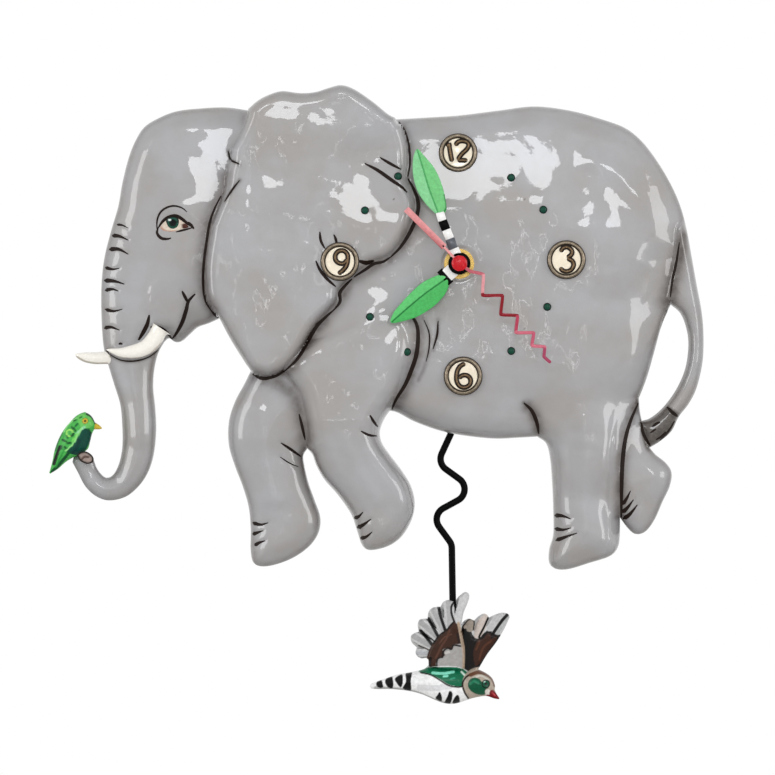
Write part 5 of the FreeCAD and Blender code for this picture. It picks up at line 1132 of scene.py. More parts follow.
# Painted lines: piece, its lines, share of their width and whether they are wedges
PAINTED_LIFT = 0.2
for name, lines, share, wedge in (
        ("trunk_wrinkles", WRINKLES, 1.7, True), ("face_lines", FACE_LINES, 1.5, False),
        ("ear_lines", EAR_LINES, 1.4, False), ("knee_lines", KNEE_LINES, 1.3, False),
        ("leg_lines", LEG_LINES, 1.9, True), ("flank_lines", FLANK_LINES, 1.3, False),
        ("edge_lines", EDGE_LINES, 1.35, False), ("eye_lines", EYE_LINES, 1.3, False)):
    piece_of(name, [ribbon(line, width * share, RELIEF.front, PAINTED_LIFT, wedge, RELIEF.distance)
                    for line, width in lines], "clock", LINE_PAINT)


def circle(centre, radius, count=12):
    """Pixels round a centre."""
    angle = np.linspace(0, 2 * np.pi, count, endpoint=False)
    return [(centre[0] + radius * math.cos(a), centre[1] + radius * math.sin(a)) for a in angle]


def ring_line(centre, radius):
    """A closed round stroke."""
    return circle(centre, radius) + circle(centre, radius)[:1]


def painted_piece(name, parts, body, ground, layers, finish=PAINTED, flat=False):
    """A piece of joined parts in painted colours."""
    points, faces = gathered(parts)
    return make_mesh(name, points, faces, body, finish, flat=flat,
                     attributes={"paint": painted(points[:, [0, 2]], ground, layers)})


EYE_WHITE = [(159, 227), (163, 222), (169, 218), (176, 217), (183, 221), (190, 227), (184, 229),
             (176, 231.5), (168, 232), (162, 230.5)]
EYE_IRIS = [(165.5, 223), (166, 219), (169, 217), (173, 216.4), (177, 217), (179.6, 220), (180, 224),
            (178, 228), (173, 230), (168, 228)]
painted_piece("eye_white", [patch(EYE_WHITE, 0.5, RELIEF.front)], "clock", "DCCDBD",
              [([(176, 232), (166, 232), (161, 228)], 2.6, "C08A78"),
               ([(184, 226), (190, 227)], 5.0, "4A2416")])
# The iris: a green ring, a dark pupil, and a near-white fleck at its upper left as a painted highlight
painted_piece("eye_iris", [patch(EYE_IRIS, 0.9, RELIEF.front, 12)], "clock", "07201A",
              [(circle((173, 223), 4.6), 1.4, "17503F"), (circle((173, 223), 3.0), 0, "030605"),
               ([(169, 220), (170.3, 220)], 1.8, "EAF3F0")])


def ribbed(pairs, depth, half_depth, steps=40, step=0.4):
    """A body through ribs given as pairs of pixels, about a plane at a depth: ellipses whose half depth
    follows the rib's half width and levels off towards half_depth by a hyperbolic tangent."""
    ends = plane(pairs)
    rows = spline(np.concatenate([ends.mean(1), (ends[:, 1] - ends[:, 0]) / 2], 1), step)
    angle = np.linspace(0, 2 * np.pi, steps, endpoint=False)
    deep = half_depth * np.tanh(np.linalg.norm(rows[:, 2:], axis=1) / half_depth)
    flat = rows[:, None, :2] + np.cos(angle)[None, :, None] * rows[:, None, 2:]
    return lofted(np.stack([flat[..., 0], -(depth + deep[:, None] * np.sin(angle)), flat[..., 1]], -1))


NEAR_TUSK_RIBS = [((153, 323), (171, 335)), ((152, 326), (166, 335)), ((148, 333), (161, 344)),
                  ((141, 341), (153, 352)), ((131, 345), (139, 358)), ((119, 348), (123, 358)),
                  ((110, 348.5), (113, 354)), ((106, 349.5), (107, 350.5))]
FAR_TUSK_RIBS = [((112, 350), (112, 364)), ((104, 351), (103, 364)), ((95, 352), (93, 364)),
                 ((85, 352), (83, 362)), ((77, 353), (76, 358)), ((74, 353.6), (74, 354.6))]
TUSKS = (("near_tusk", NEAR_TUSK_RIBS, 28.2, 4.6), ("far_tusk", FAR_TUSK_RIBS, 19.8, 3.2))
# Grey along the underside of each tusk: painted shade
TUSK_PAINTED_SHADE = [([(110, 356), (124, 359), (138, 359), (150, 355), (163, 343)], 3.4, "B9B0A2"),
               ([(75, 357), (84, 362), (94, 364), (106, 364)], 3.4, "B9B0A2")]
for node, ribs, depth, half_depth in TUSKS:
    body = ribbed(ribs, depth, half_depth)
    tusk = painted_piece(node + "_ivory", [body], "clock", "F5F1E8", TUSK_PAINTED_SHADE, IVORY)
    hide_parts(node)

PERCH_DEPTH = 21.3
PERCHED_RIBS = [((84, 412), (85, 412.6)), ((80, 413.2), (88.5, 414.5)), ((75, 416), (92, 418.5)),
                ((70, 421), (94.5, 426)), ((64, 428), (91, 434)), ((59, 436), (89, 442)),
                ((55.5, 444), (86, 450)), ((53, 452), (75, 456)), ((51.5, 460), (65, 462)),
                ((49.5, 468), (57, 469)), ((48, 473), (49, 474))]
# The perched bird's paint: greens, dark speckles, tail bars and eye; the pale green ring on its side and the
# pale green strokes on its back and breast are painted highlights, the darker green along its back edge is
# painted shade
PERCHED_PAINT_AND_LIGHT = [
    ([(72, 418), (64, 427), (58, 438), (54, 450)], 3.2, "2A7C38"),
    ([(63, 432), (68, 424), (76, 418)], 1.6, "86DE7C"),
    ([(82, 428), (88, 430), (90.5, 437), (88, 444), (84, 451), (78, 455), (70, 454), (66, 451), (73, 444),
      (78, 436)], 0, "0B4A3C"),
    ([(79, 440), (76, 448), (72, 453)], 3.0, "083A34"),
    ([(77, 416), (84, 414), (90, 418), (93, 424), (88, 428), (80, 427)], 0, "6FCB62"),
    (ring_line((69, 433), 3.2), 1.5, "A6EC70"), ([(73, 428), (75, 431)], 2.0, "17562B"),
    ([(64, 447), (66, 449)], 2.2, "17562B"), ([(76, 434), (80, 430), (84, 427)], 2.4, "93DCA6"),
    ([(72, 441), (77, 434)], 2.0, "7ADB62"), ([(71, 436), (73, 434)], 2.6, "17562B"),
    ([(62, 440), (64, 441)], 2.4, "17562B"), ([(68, 443), (70, 443)], 2.4, "17562B"),
    ([(75, 426), (77, 424)], 2.2, "1C6A34"), ([(59, 447), (56, 455), (53, 464)], 3.4, "08170F"),
    ([(68, 453), (64, 458), (58, 465), (51, 472)], 3.2, "12502A"),
    ([(64, 449), (60, 457), (55, 467)], 1.6, "2F9440"),
    ([(86, 414), (91, 417), (95, 424)], 2.2, "0F3D22"),
    ([(65, 451), (72, 444.5), (77, 436), (81, 428)], 1.3, "9BEA8C"),
    ([(88, 429), (91, 436), (88.5, 445)], 1.2, "05281F"), ([(66, 436), (67, 438)], 1.8, "1B5E2C"),
    ([(71, 427), (72, 429)], 1.6, "1B5E2C"), ([(66, 442), (67, 444)], 1.6, "1B5E2C"),
    ([(73, 421), (75, 420)], 1.6, "1B5E2C"), ([(79, 418), (81, 417)], 1.6, "2A7C38"),
    ([(61, 446), (61, 449)], 1.8, "1B5E2C"), (circle((84.5, 421), 3.2), 0, "2C4A16"),
    (ring_line((84.5, 421), 2.0), 1.5, "D2B93C"), (circle((84.5, 421), 1.3), 0, "5A3E12"),
]
perched = ribbed(PERCHED_RIBS, PERCH_DEPTH, 5.6, 72, 0.3)
bird = painted_piece("perched_bird_body", [perched], "clock", "4DB552", PERCHED_PAINT_AND_LIGHT)
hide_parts("perched_bird")
PERCHED_BEAK_RIBS = [((91, 420), (90, 430)), ((94, 422.5), (94, 429.5)), ((98, 425), (97.5, 429.5)),
                     ((101, 428), (100.6, 429))]
painted_piece("perched_bird_beak", [ribbed(PERCHED_BEAK_RIBS, PERCH_DEPTH, 3.0)], "clock", "D6B93F",
              [([(90, 421), (93, 423)], 3.5, "15301E"), ([(94, 430), (100, 430)], 1.6, "5A4A18")])
TIP_RING = [(77, 455), (80, 452.5), (85, 451.5), (90, 454), (93, 458), (92.5, 462), (88, 464), (83, 463),
            (79, 460)]
TIP_DEPTH = 26.7
nostril = patch(TIP_RING, 0.25, lambda points: np.full(len(points), TIP_DEPTH))
painted_piece("trunk_tip", [nostril], "clock", "9C8C84", [
    ([(81, 460), (84, 457), (88, 457)], 2.2, "5A463E"), (TIP_RING + TIP_RING[:1], 3.4, "1E120D")])


# Studs, dots, nut and hands

STROKE_STEP = 0.3


def stroke(pixels, radius, depth, depth_share=1.0):
    """A raised stroke: a round bar along a spline of pixels, whose ends are rounded by a quarter circle."""
    line = spline(plane(pixels), STROKE_STEP)
    along = np.linspace(0, 1, len(line))
    length = np.linalg.norm(np.diff(line, axis=0), axis=1).sum()
    end = np.minimum(along, 1 - along) * length / radius
    radii = radius * np.sqrt(np.clip(1 - (1 - np.clip(end, 0, 1)) ** 2, 0.02, 1))
    return tube(np.column_stack([line[:, 0], np.full(len(line), depth), line[:, 1]]), radii, 14,
                depth_share)


# Strokes of the numerals, in pixels from the middle of their stud
NUMERALS = {
    "12": [[(-11.0, -5.5), (-9.2, -8.8), (-8.4, -4.0), (-7.2, 3.0), (-6.0, 9.2)],
           [(-2.6, -6.8), (-0.4, -10.6), (4.0, -11.8), (9.0, -10.6), (10.6, -7.4), (8.6, -3.4),
            (3.6, 1.4), (-0.6, 7.4)],
           [(-0.6, 7.6), (4.6, 7.6), (9.6, 7.8)]],
    "3": [[(-6.0, -7.6), (-3.4, -11.6), (1.0, -12.6), (5.2, -9.6), (5.2, -5.4), (0.6, -1.8)],
          [(0.6, -1.6), (5.8, 1.2), (7.2, 5.6), (4.6, 10.2), (0.0, 11.8), (-4.2, 10.4), (-6.0, 7.4)]],
    "6": [[(2.4, -12.4), (-2.0, -10.6), (-5.2, -6.4), (-6.6, -0.4), (-6.2, 5.6), (-3.0, 10.4),
           (2.2, 11.4), (6.8, 8.4), (7.4, 3.4), (4.4, -0.2), (-0.4, -0.6), (-4.6, 2.4)]],
    "9": [[(7.6, -2.4), (4.2, 1.6), (-0.6, 1.6), (-4.2, -1.8), (-4.2, -7.0), (-0.8, -10.6), (4.2, -10.6),
           (7.6, -7.0), (7.8, -1.4), (6.4, 4.4), (2.8, 9.0), (-1.8, 12.6)]],
}
# Finishes of the studs: a rim of aged pewter, rings and outlines of dark metal, the outer ring and the
# outlines being painted shade where the stud meets the body and along the numeral's sides, a numeral of
# dull bronze, and a face of cream enamel with a hard gloss
PEWTER = plain("aged_pewter", "7E7364", 0.32, metal=1.0, lump=1.2, shift=0.35, grain_depth=0.06)
DARK_METAL_AND_SHADE = plain("dark_bronze_and_painted_shade", "1E130B", 0.45, specular=0.2, lump=0.8, shift=0.3)
BRONZE = plain("dull_bronze", "6B5843", 0.3, metal=1.0, lump=0.8, shift=0.35)
CREAM = plain("cream_enamel", "EFE3CB", 0.18, coat=1.0, coat_roughness=0.03, lump=4.0, shift=0.05)
# A stud's rim, as far in from its outer edge and down from its top
RIM_INNER = 1.9
RIM_PROFILE = ((0.15, 0.75), (0.45, 0.3), (0.8, 0.05), (1.1, 0.0), (1.45, 0.12), (1.75, 0.5),
               (RIM_INNER, 0.95))
# The dark rings on either side of it, the outer one painted shade where the stud meets the body: in from
# the outer edge to both edges of a ring, and down from the top
DARK_RINGS = ((0.0, 0.42, 0.55), (1.75, 2.25, 0.62))
RING_CHAMFER = 0.2
FACE_INSET, FACE_SUNK, FACE_DISH = 2.2, 0.75, 0.15
NUMERAL_SUNK = 0.85
STUD_STEPS = 96


def stud(hour, strokes):
    """A stud: a pewter rim between dark rings, the outer one painted shade, a face dished by half a sine,
    and a numeral in relief outlined by painted shade.
    """
    node = "numeral_stud_" + hour
    low, high = box_mm(node)
    seat, top = -high[1], -low[1]
    centre = middle(node)[[0, 2]]
    outer = (high[0] - low[0]) / 2
    profile = [(outer - 0.45, seat), (outer - 0.1, seat + 0.8)]
    profile += [(outer - inset, top - drop) for inset, drop in RIM_PROFILE] + [(outer - RIM_INNER, seat)]
    rim = piece_of(node + "_rim", [turned_ring(centre, profile, STUD_STEPS)], "clock", PEWTER)
    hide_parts(node)
    rings = []
    for first, second, drop in DARK_RINGS:
        a, b, front = outer - first, outer - second, top - drop
        section = [(a, seat), (a, front - RING_CHAMFER), ((a + b) / 2, front), (b, front - RING_CHAMFER),
                   (b, seat)]
        rings.append(turned_ring(centre, section, STUD_STEPS))
    piece_of(node + "_dark_rings", rings, "clock", DARK_METAL_AND_SHADE)
    face = outer - FACE_INSET
    dish = [(r, top - FACE_SUNK - FACE_DISH * math.sin(min(1.0, r / face) * math.pi))
            for r in np.linspace(0.1, face, 14)]
    disc = lofted(turned(centre, [(face, seat + 0.3)] + dish[::-1], STUD_STEPS))
    piece_of(node + "_face", [disc], "clock", CREAM)
    pixel = np.array(STUD_PIXELS[hour], float)
    lines = [[tuple(pixel + np.array(q)) for q in line] for line in strokes]
    depth = top - NUMERAL_SUNK
    # The numeral's dark outline, wider and lower: painted shade along its sides
    piece_of(node + "_outline", [stroke(line, 1.12, depth, 0.4) for line in lines], "clock", DARK_METAL_AND_SHADE)
    piece_of(node + "_numeral", [stroke(line, 0.46, depth + 0.3, 0.9) for line in lines], "clock", BRONZE)


for hour, strokes in NUMERALS.items():
    stud(hour, strokes)

# The small dots are half spheres flattened to DOT_RISE, standing on a short collar
DOT_RADIUS, DOT_RISE, DOT_COLLAR = 1.8, 1.4, 0.3
domes = []
for centre, top in dot_tops():
    arc = [(DOT_RADIUS * math.sin(a), top - DOT_RISE + DOT_RISE * math.cos(a))
           for a in np.linspace(math.pi / 2, 0.03, 12)]
    domes.append(lofted(turned(centre, [(DOT_RADIUS, top - DOT_RISE - DOT_COLLAR)] + arc, 40)))
dots = painted_piece("hour_dot_domes", domes, "clock", "0C4534",
                     [(ring_line(pixel, 3.7), 1.2, "04140F") for pixel in DOT_PIXELS])
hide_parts("hour_dots")


def bar(start, end, width, back, front, edge=0.18):
    """A flat bar between two pixels, width pixels wide: an eight-cornered section, drawn in at both ends."""
    a, b = plane(start), plane(end)
    ahead = (b - a) / np.linalg.norm(b - a)
    side = np.array([-ahead[1], ahead[0]])
    half, mid, deep = width * PX / 2, (back + front) / 2, (front - back) / 2
    rings = []
    length = np.linalg.norm(b - a)
    for at, shrink in ((0, edge), (edge, 0), (length - edge, 0), (length, edge)):
        h, d = half - shrink, deep - shrink * 0.6
        corners = [(h, d - edge), (h - edge, d), (edge - h, d), (-h, d - edge),
                   (-h, edge - d), (edge - h, -d), (h - edge, -d), (h, edge - d)]
        rings.append([(*(a + ahead * at + side * u), v) for u, v in corners])
    rings = np.array(rings)
    return lofted(np.stack([rings[..., 0], -(mid + rings[..., 2]), rings[..., 1]], -1))


# A leaf: height at its edge, reach of its roll, and the midrib's groove
LEAF_EDGE, LEAF_ROLL = 0.15, 1.2
RIB_DEPTH, RIB_REACH = 0.22, 0.35
RIB_MARGIN = 12.0


def leaf(name, loop_pixels, rib, levels, body, node, ground, layers):
    """A leaf-shaped blade: rounded at its edge, hollowed along the midrib and painted in two greens, the
    lighter and the darker side standing in for light and shade.
    """
    back, front = levels
    loop = spline(plane(loop_pixels), 0.35, True)
    rib_line = spline(plane(rib), 0.4)

    def height(points):
        gap = blade.distance(points)
        across = line_distance(points, rib_line, RIB_MARGIN)
        groove = RIB_DEPTH * np.exp(-(across / RIB_REACH) ** 2)
        return rolled(front - back, LEAF_EDGE, LEAF_ROLL, gap) - groove

    blade = Relief([loop], height, back, 0.3, [0.0, 0.08, 0.25])
    piece = blade.piece(name, body, PAINTED,
                        attributes=lambda flat, heights: painted_front(flat, heights, ground, layers))
    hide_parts(node)


# Hand paint, thick enough to even out into a soft gloss
BLACK = FINISH["black_paint"]
WHITE = plain("white_hand_paint", "F2F1EF", 0.3, coat=0.6, lump=2.0, shift=0.04)
SLATE = plain("slate_grey_hand_paint", "4A4E57", 0.35, coat=0.4, lump=2.0)
MINUTE_LEAF = [(417, 150), (424, 157), (434, 169), (441, 184), (445, 199), (446, 211), (441, 216),
               (436, 215), (425, 204), (417, 191), (413, 176), (413, 160)]
MINUTE_RIB = [(417, 151), (423, 170), (429, 190), (438, 214)]
HOUR_LEAF = [(391, 323), (393, 314), (399, 306), (409, 295), (421, 284), (434, 277), (444, 275),
             (449, 281), (448, 288), (443, 297), (433, 307), (419, 316), (405, 321)]
HOUR_RIB = [(392, 322), (408, 308), (425, 294), (446, 279)]
HAND_THICKNESS = 0.5


def hand_levels(node):
    """Depths of the back and the front of a hand's blade."""
    front = -box_mm(node)[0][1]
    return front - HAND_THICKNESS, front


HOUR_LEVELS = hand_levels("hour_hand")
MINUTE_LEVELS = hand_levels("minute_hand")
SECOND_LEVELS = hand_levels("second_hand")
# The hour leaf's lower half is a darker green as painted shade; the minute leaf's left half is a lighter
# green as painted light, with a dark green stroke of painted shade down its right edge
leaf("hour_leaf", HOUR_LEAF, HOUR_RIB, HOUR_LEVELS, "hour_train", "hour_hand", "62C973",
     [([(391, 323), (408, 309), (425, 295), (447, 279), (450, 287), (443, 298), (430, 310), (412, 320)],
       0, "4DB860"),
      (HOUR_RIB, 1.5, "1F7A38")])
leaf("minute_leaf", MINUTE_LEAF, MINUTE_RIB, MINUTE_LEVELS, "minute_train", "minute_hand", "78CC82",
     [([(416, 150), (423, 170), (429, 190), (439, 216), (425, 206), (412, 190), (408, 165)], 0, "8AD497"),
      (MINUTE_RIB, 1.4, "3E9A55"), ([(444, 196), (446, 208), (440, 217)], 1.6, "2F8745")])
# Stems of the hands: piece, body, finish, levels, then each bar's ends and width in pixels
STEMS = (
    ("minute_stem_white", "minute_train", WHITE, MINUTE_LEVELS,
     [((439.5, 213), (442, 221.5), 8.5), ((446, 230.5), (449.5, 239.5), 9.0),
      ((453, 249.5), (456.5, 257.5), 11.0)]),
    ("minute_stem_black", "minute_train", BLACK, MINUTE_LEVELS, [((442.2, 221.5), (445.8, 230.5), 9.0)]),
    ("minute_stem_grey", "minute_train", SLATE, MINUTE_LEVELS, [((449.6, 239.5), (452.9, 249.5), 9.5)]),
    ("hour_stem_black", "hour_train", BLACK, (HOUR_LEVELS[0], HOUR_LEVELS[1] - 0.05), [
        ((447.5, 275.2), (442.5, 279.5), 17.5)]),
    ("hour_stem_white", "hour_train", WHITE, HOUR_LEVELS, [((457, 266.5), (446.5, 276), 14.0)]),
)
for name, body, finish, (back, front), bars in STEMS:
    piece_of(name, [bar(start, end, width, back, front) for start, end, width in bars], body, finish)
# Hubs of the hands: how far they reach behind the blade
HUB_DROP = 0.8
for name, body, radius, (back, front) in (
        ("hour_hub", "hour_train", 4.5, HOUR_LEVELS), ("minute_hub", "minute_train", 4.85, MINUTE_LEVELS)):
    hub = [(radius, back - HUB_DROP), (radius, front - 0.25), (radius - 0.3, front), (2.2, front),
           (1.9, front - 0.2), (1.9, back - HUB_DROP)]
    piece_of(name, [turned_ring(SHAFT, hub, 72)], body, BLACK)

# The second hand's bolt: its corners are cut off a little before and after, so that the spline keeps them
CORNER_SHARE = 0.1
BOLT_RADIUS = 0.72
BOLT_SUNK = 0.27
BOLT = [(459, 264), (470, 272), (483, 275), (482, 296), (502, 296), (500, 315), (517, 316), (515, 333),
        (533, 333), (531, 346), (544, 347), (543, 357), (550, 363)]
corners = np.array(BOLT, float)
toward = corners[1:-1] + (corners[:-2] - corners[1:-1]) * CORNER_SHARE
onward = corners[1:-1] + (corners[2:] - corners[1:-1]) * CORNER_SHARE
bolt_line = np.concatenate([corners[:1], np.stack([toward, onward], 1).reshape(-1, 2), corners[-1:]])
bolt = stroke(bolt_line, BOLT_RADIUS, SECOND_LEVELS[1] - BOLT_SUNK, 0.34)
seconds = painted_piece("second_bolt", [bolt], "seconds_train", "D4737F",
                        [([(462, 266), (472, 272), (483, 275)], 4.0, "C4646F"),
                         ([(483, 277), (482, 293)], 5.0, "E59AA0"),
                         ([(482, 296), (502, 296), (500, 315), (516, 316)], 5.0, "8A1420"),
                         ([(517, 318), (515, 331)], 5.0, "B8415A"),
                         ([(516, 333), (531, 333)], 5.0, "D06A7C"),
                         ([(533, 335), (531, 344)], 5.0, "C25A72"),
                         ([(533, 346), (543, 347)], 5.0, "D47284"),
                         ([(543, 350), (543, 357), (550, 363)], 5.0, "A84562")])
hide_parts("second_hand")
tail = [bar((406, 210), (444, 248), 6.4, *SECOND_LEVELS), bar((442, 246), (460, 265), 2.4, *SECOND_LEVELS)]
# A darker red stroke along the tail's lower edge: painted shade
painted_piece("second_tail", tail, "seconds_train", "F0A3A3",
              [([(405, 213), (441, 250), (456, 264)], 1.6, "A83A44")])

# The cap: rings of few corners, each turned half a facet from the last, drawn in towards the front
low, high = box_mm("second_hand_cap")
cap_back, cap_front = -high[1], -low[1]
cap_radius = (high[0] - low[0]) / 2
FACETS = 9
turns = np.linspace(0, 2 * np.pi, FACETS, endpoint=False)
rings = []
for k, (share, depth) in enumerate(((0.98, cap_back), (1.0, cap_back + 0.5), (0.78, cap_front - 0.45),
                                    (0.42, cap_front - 0.1), (0.1, cap_front))):
    angle = turns + k * math.pi / FACETS
    radius = cap_radius * share
    rings.append(np.stack([SHAFT[0] + radius * np.cos(angle), np.full(FACETS, -depth),
                           SHAFT[1] + radius * np.sin(angle)], -1))
cap = piece_of("faceted_cap", [lofted(np.array(rings))], "seconds_train", FINISH["red_cap"], flat=True)
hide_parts("second_hand_cap")


# The flying bird

BIRD_SPANS = [
    [(369.5, 690), (371, 687), (377, 684.5), (384, 682), (398, 677.5), (412, 675), (424, 672),
     (429, 668)],
    [(429, 668), (428, 661), (421, 661), (416, 656), (417, 650)],
    [(417, 650), (412, 645), (411, 639), (414, 636), (419, 634)],
    [(419, 634), (418, 627), (420, 622), (425, 621), (428, 621)],
    [(428, 621), (429, 614), (433, 610), (438, 609), (441, 609)],
    [(441, 609), (444, 604), (449, 602), (453, 603), (456, 603)],
    [(456, 603), (460, 598), (466, 594), (470, 597), (468, 605), (464, 615), (462, 627)],
    [(462, 627), (465, 623), (470, 621), (475, 623)],
    [(475, 623), (479, 619), (484, 616), (488, 617), (490, 620)],
    [(490, 620), (496, 617), (503, 615), (509, 616), (511, 619)],
    [(511, 619), (505, 632), (497, 645), (488, 657), (479, 672)],
    [(479, 672), (487, 676), (493, 681), (496, 688), (496, 693), (499, 700)],
    [(499, 700), (492, 699.5), (485, 699), (474, 701), (464, 704.3), (454, 706.9), (444, 706.0),
     (434, 702.3), (423, 697.5), (410, 694), (392, 692), (378, 692), (371, 691.5), (369.5, 690)],
]
# Feathers: tip, root, width in pixels, height of the edge above the back, shade
FEATHERS = [
    ((417, 655), (433, 655), 9, 6.0, "B4B6B9"), ((414, 638), (435, 650), 11, 6.3, "ABABAB"),
    ((421, 624), (442, 642), 11, 6.6, "ACACAC"), ((434, 612), (446, 636), 11, 6.9, "B2B2B2"),
    ((449, 604), (451, 634), 11, 7.2, "B4B4B4"), ((466, 597), (457, 630), 11, 7.5, "CFCFCF"),
    ((470, 623), (470, 645), 10, 3.2, "B5ABA1"), ((486, 618), (476, 645), 10, 3.5, "D8CDC6"),
    ((500, 617), (484, 642), 9, 3.3, "C4C4C4"), ((508, 619), (492, 644), 9, 3.0, "B9BBBA"),
]
COVERT = [(455, 624), (448, 630), (441, 636), (434, 644), (429, 653), (427, 662), (430, 669), (440, 669),
          (463, 670), (464, 650), (461, 632)]
INNER = [(437, 669), (438, 661), (443, 659), (446, 656), (443, 652), (447, 650), (451, 652), (453, 647),
         (458, 646), (464, 648), (464, 670), (450, 671)]
FAR_WING = [(462, 630), (463, 674), (479, 674), (490, 657), (503, 640), (498, 637), (490, 634),
            (484, 637), (479, 640), (474, 638), (470, 630)]
BIRD_BODY = [(366, 690), (384, 681), (398, 676), (412, 673), (424, 670), (445, 668), (462, 670),
             (472, 678), (474, 690), (470, 703), (454, 709), (444, 708), (434, 704), (423, 699),
             (410, 695), (392, 693)]

# Forms of the flying bird, lowest first: outline, height, height at the edge, reach of the roll, fillet
BIRD_FORMS = (
    ("far_wing", FAR_WING, 4.8, 3.0, 2.0, 0.4), ("covert", COVERT, 8.3, 6.6, 2.0, 0.4),
    ("inner_wing", INNER, 8.8, 7.6, 1.6, 0.3), ("body", BIRD_BODY, 9.2, 2.4, 8.0, 0.8),
    ("head", circle((480, 687), 18.5), 9.8, 2.4, 7.5, 0.8))
# The ground between the forms: height, height at the edge, reach of the roll
BIRD_GROUND, GROUND_EDGE, GROUND_ROLL = 2.6, 1.4, 1.5
# A feather's ridge, and how far from the outline it starts to drop
FEATHER_RIDGE = 1.1
FEATHER_EDGE = 0.6
# The tail: its tip and length in pixels, and its share of the body's thickness
TAIL_TIP = (376, 690)
TAIL_LENGTH = 60
TAIL_SHARE = 0.62


def bird_height(points):
    """The highest of body, head, wings and feathers, each rolling over at its own outline. A feather is a
    ridge of half an ellipse along a line from tip to root, and the body slims towards the tail's tip."""
    rim = BIRD.distance(points)
    height = rolled(BIRD_GROUND, GROUND_EDGE, GROUND_ROLL, rim)
    for tip, root, width, level, _ in FEATHERS:
        share = np.clip(line_distance(points, plane([tip, root]), 6.0) / (width * PX / 2), 0, 1)
        ridge = level + FEATHER_RIDGE * np.sqrt(1 - share ** 2)
        ridge = ridge + np.where(rim < FEATHER_EDGE, rim - FEATHER_EDGE, 0) * 2
        height = np.maximum(height, np.where(share < 1, ridge, 0))
    slim = TAIL_SHARE + (1 - TAIL_SHARE) * smooth((points[:, 0] - plane(TAIL_TIP)[0]) / (TAIL_LENGTH * PX))
    for name, outline, depth, edge, roll, fillet in BIRD_FORMS:
        inside = np.minimum(loop_distance(points, spline(plane(outline), 0.6, True), 6.0), rim)
        full = depth * slim if name == "body" else depth
        height = joined(height, rolled(full, edge, roll, inside), fillet)
    return height
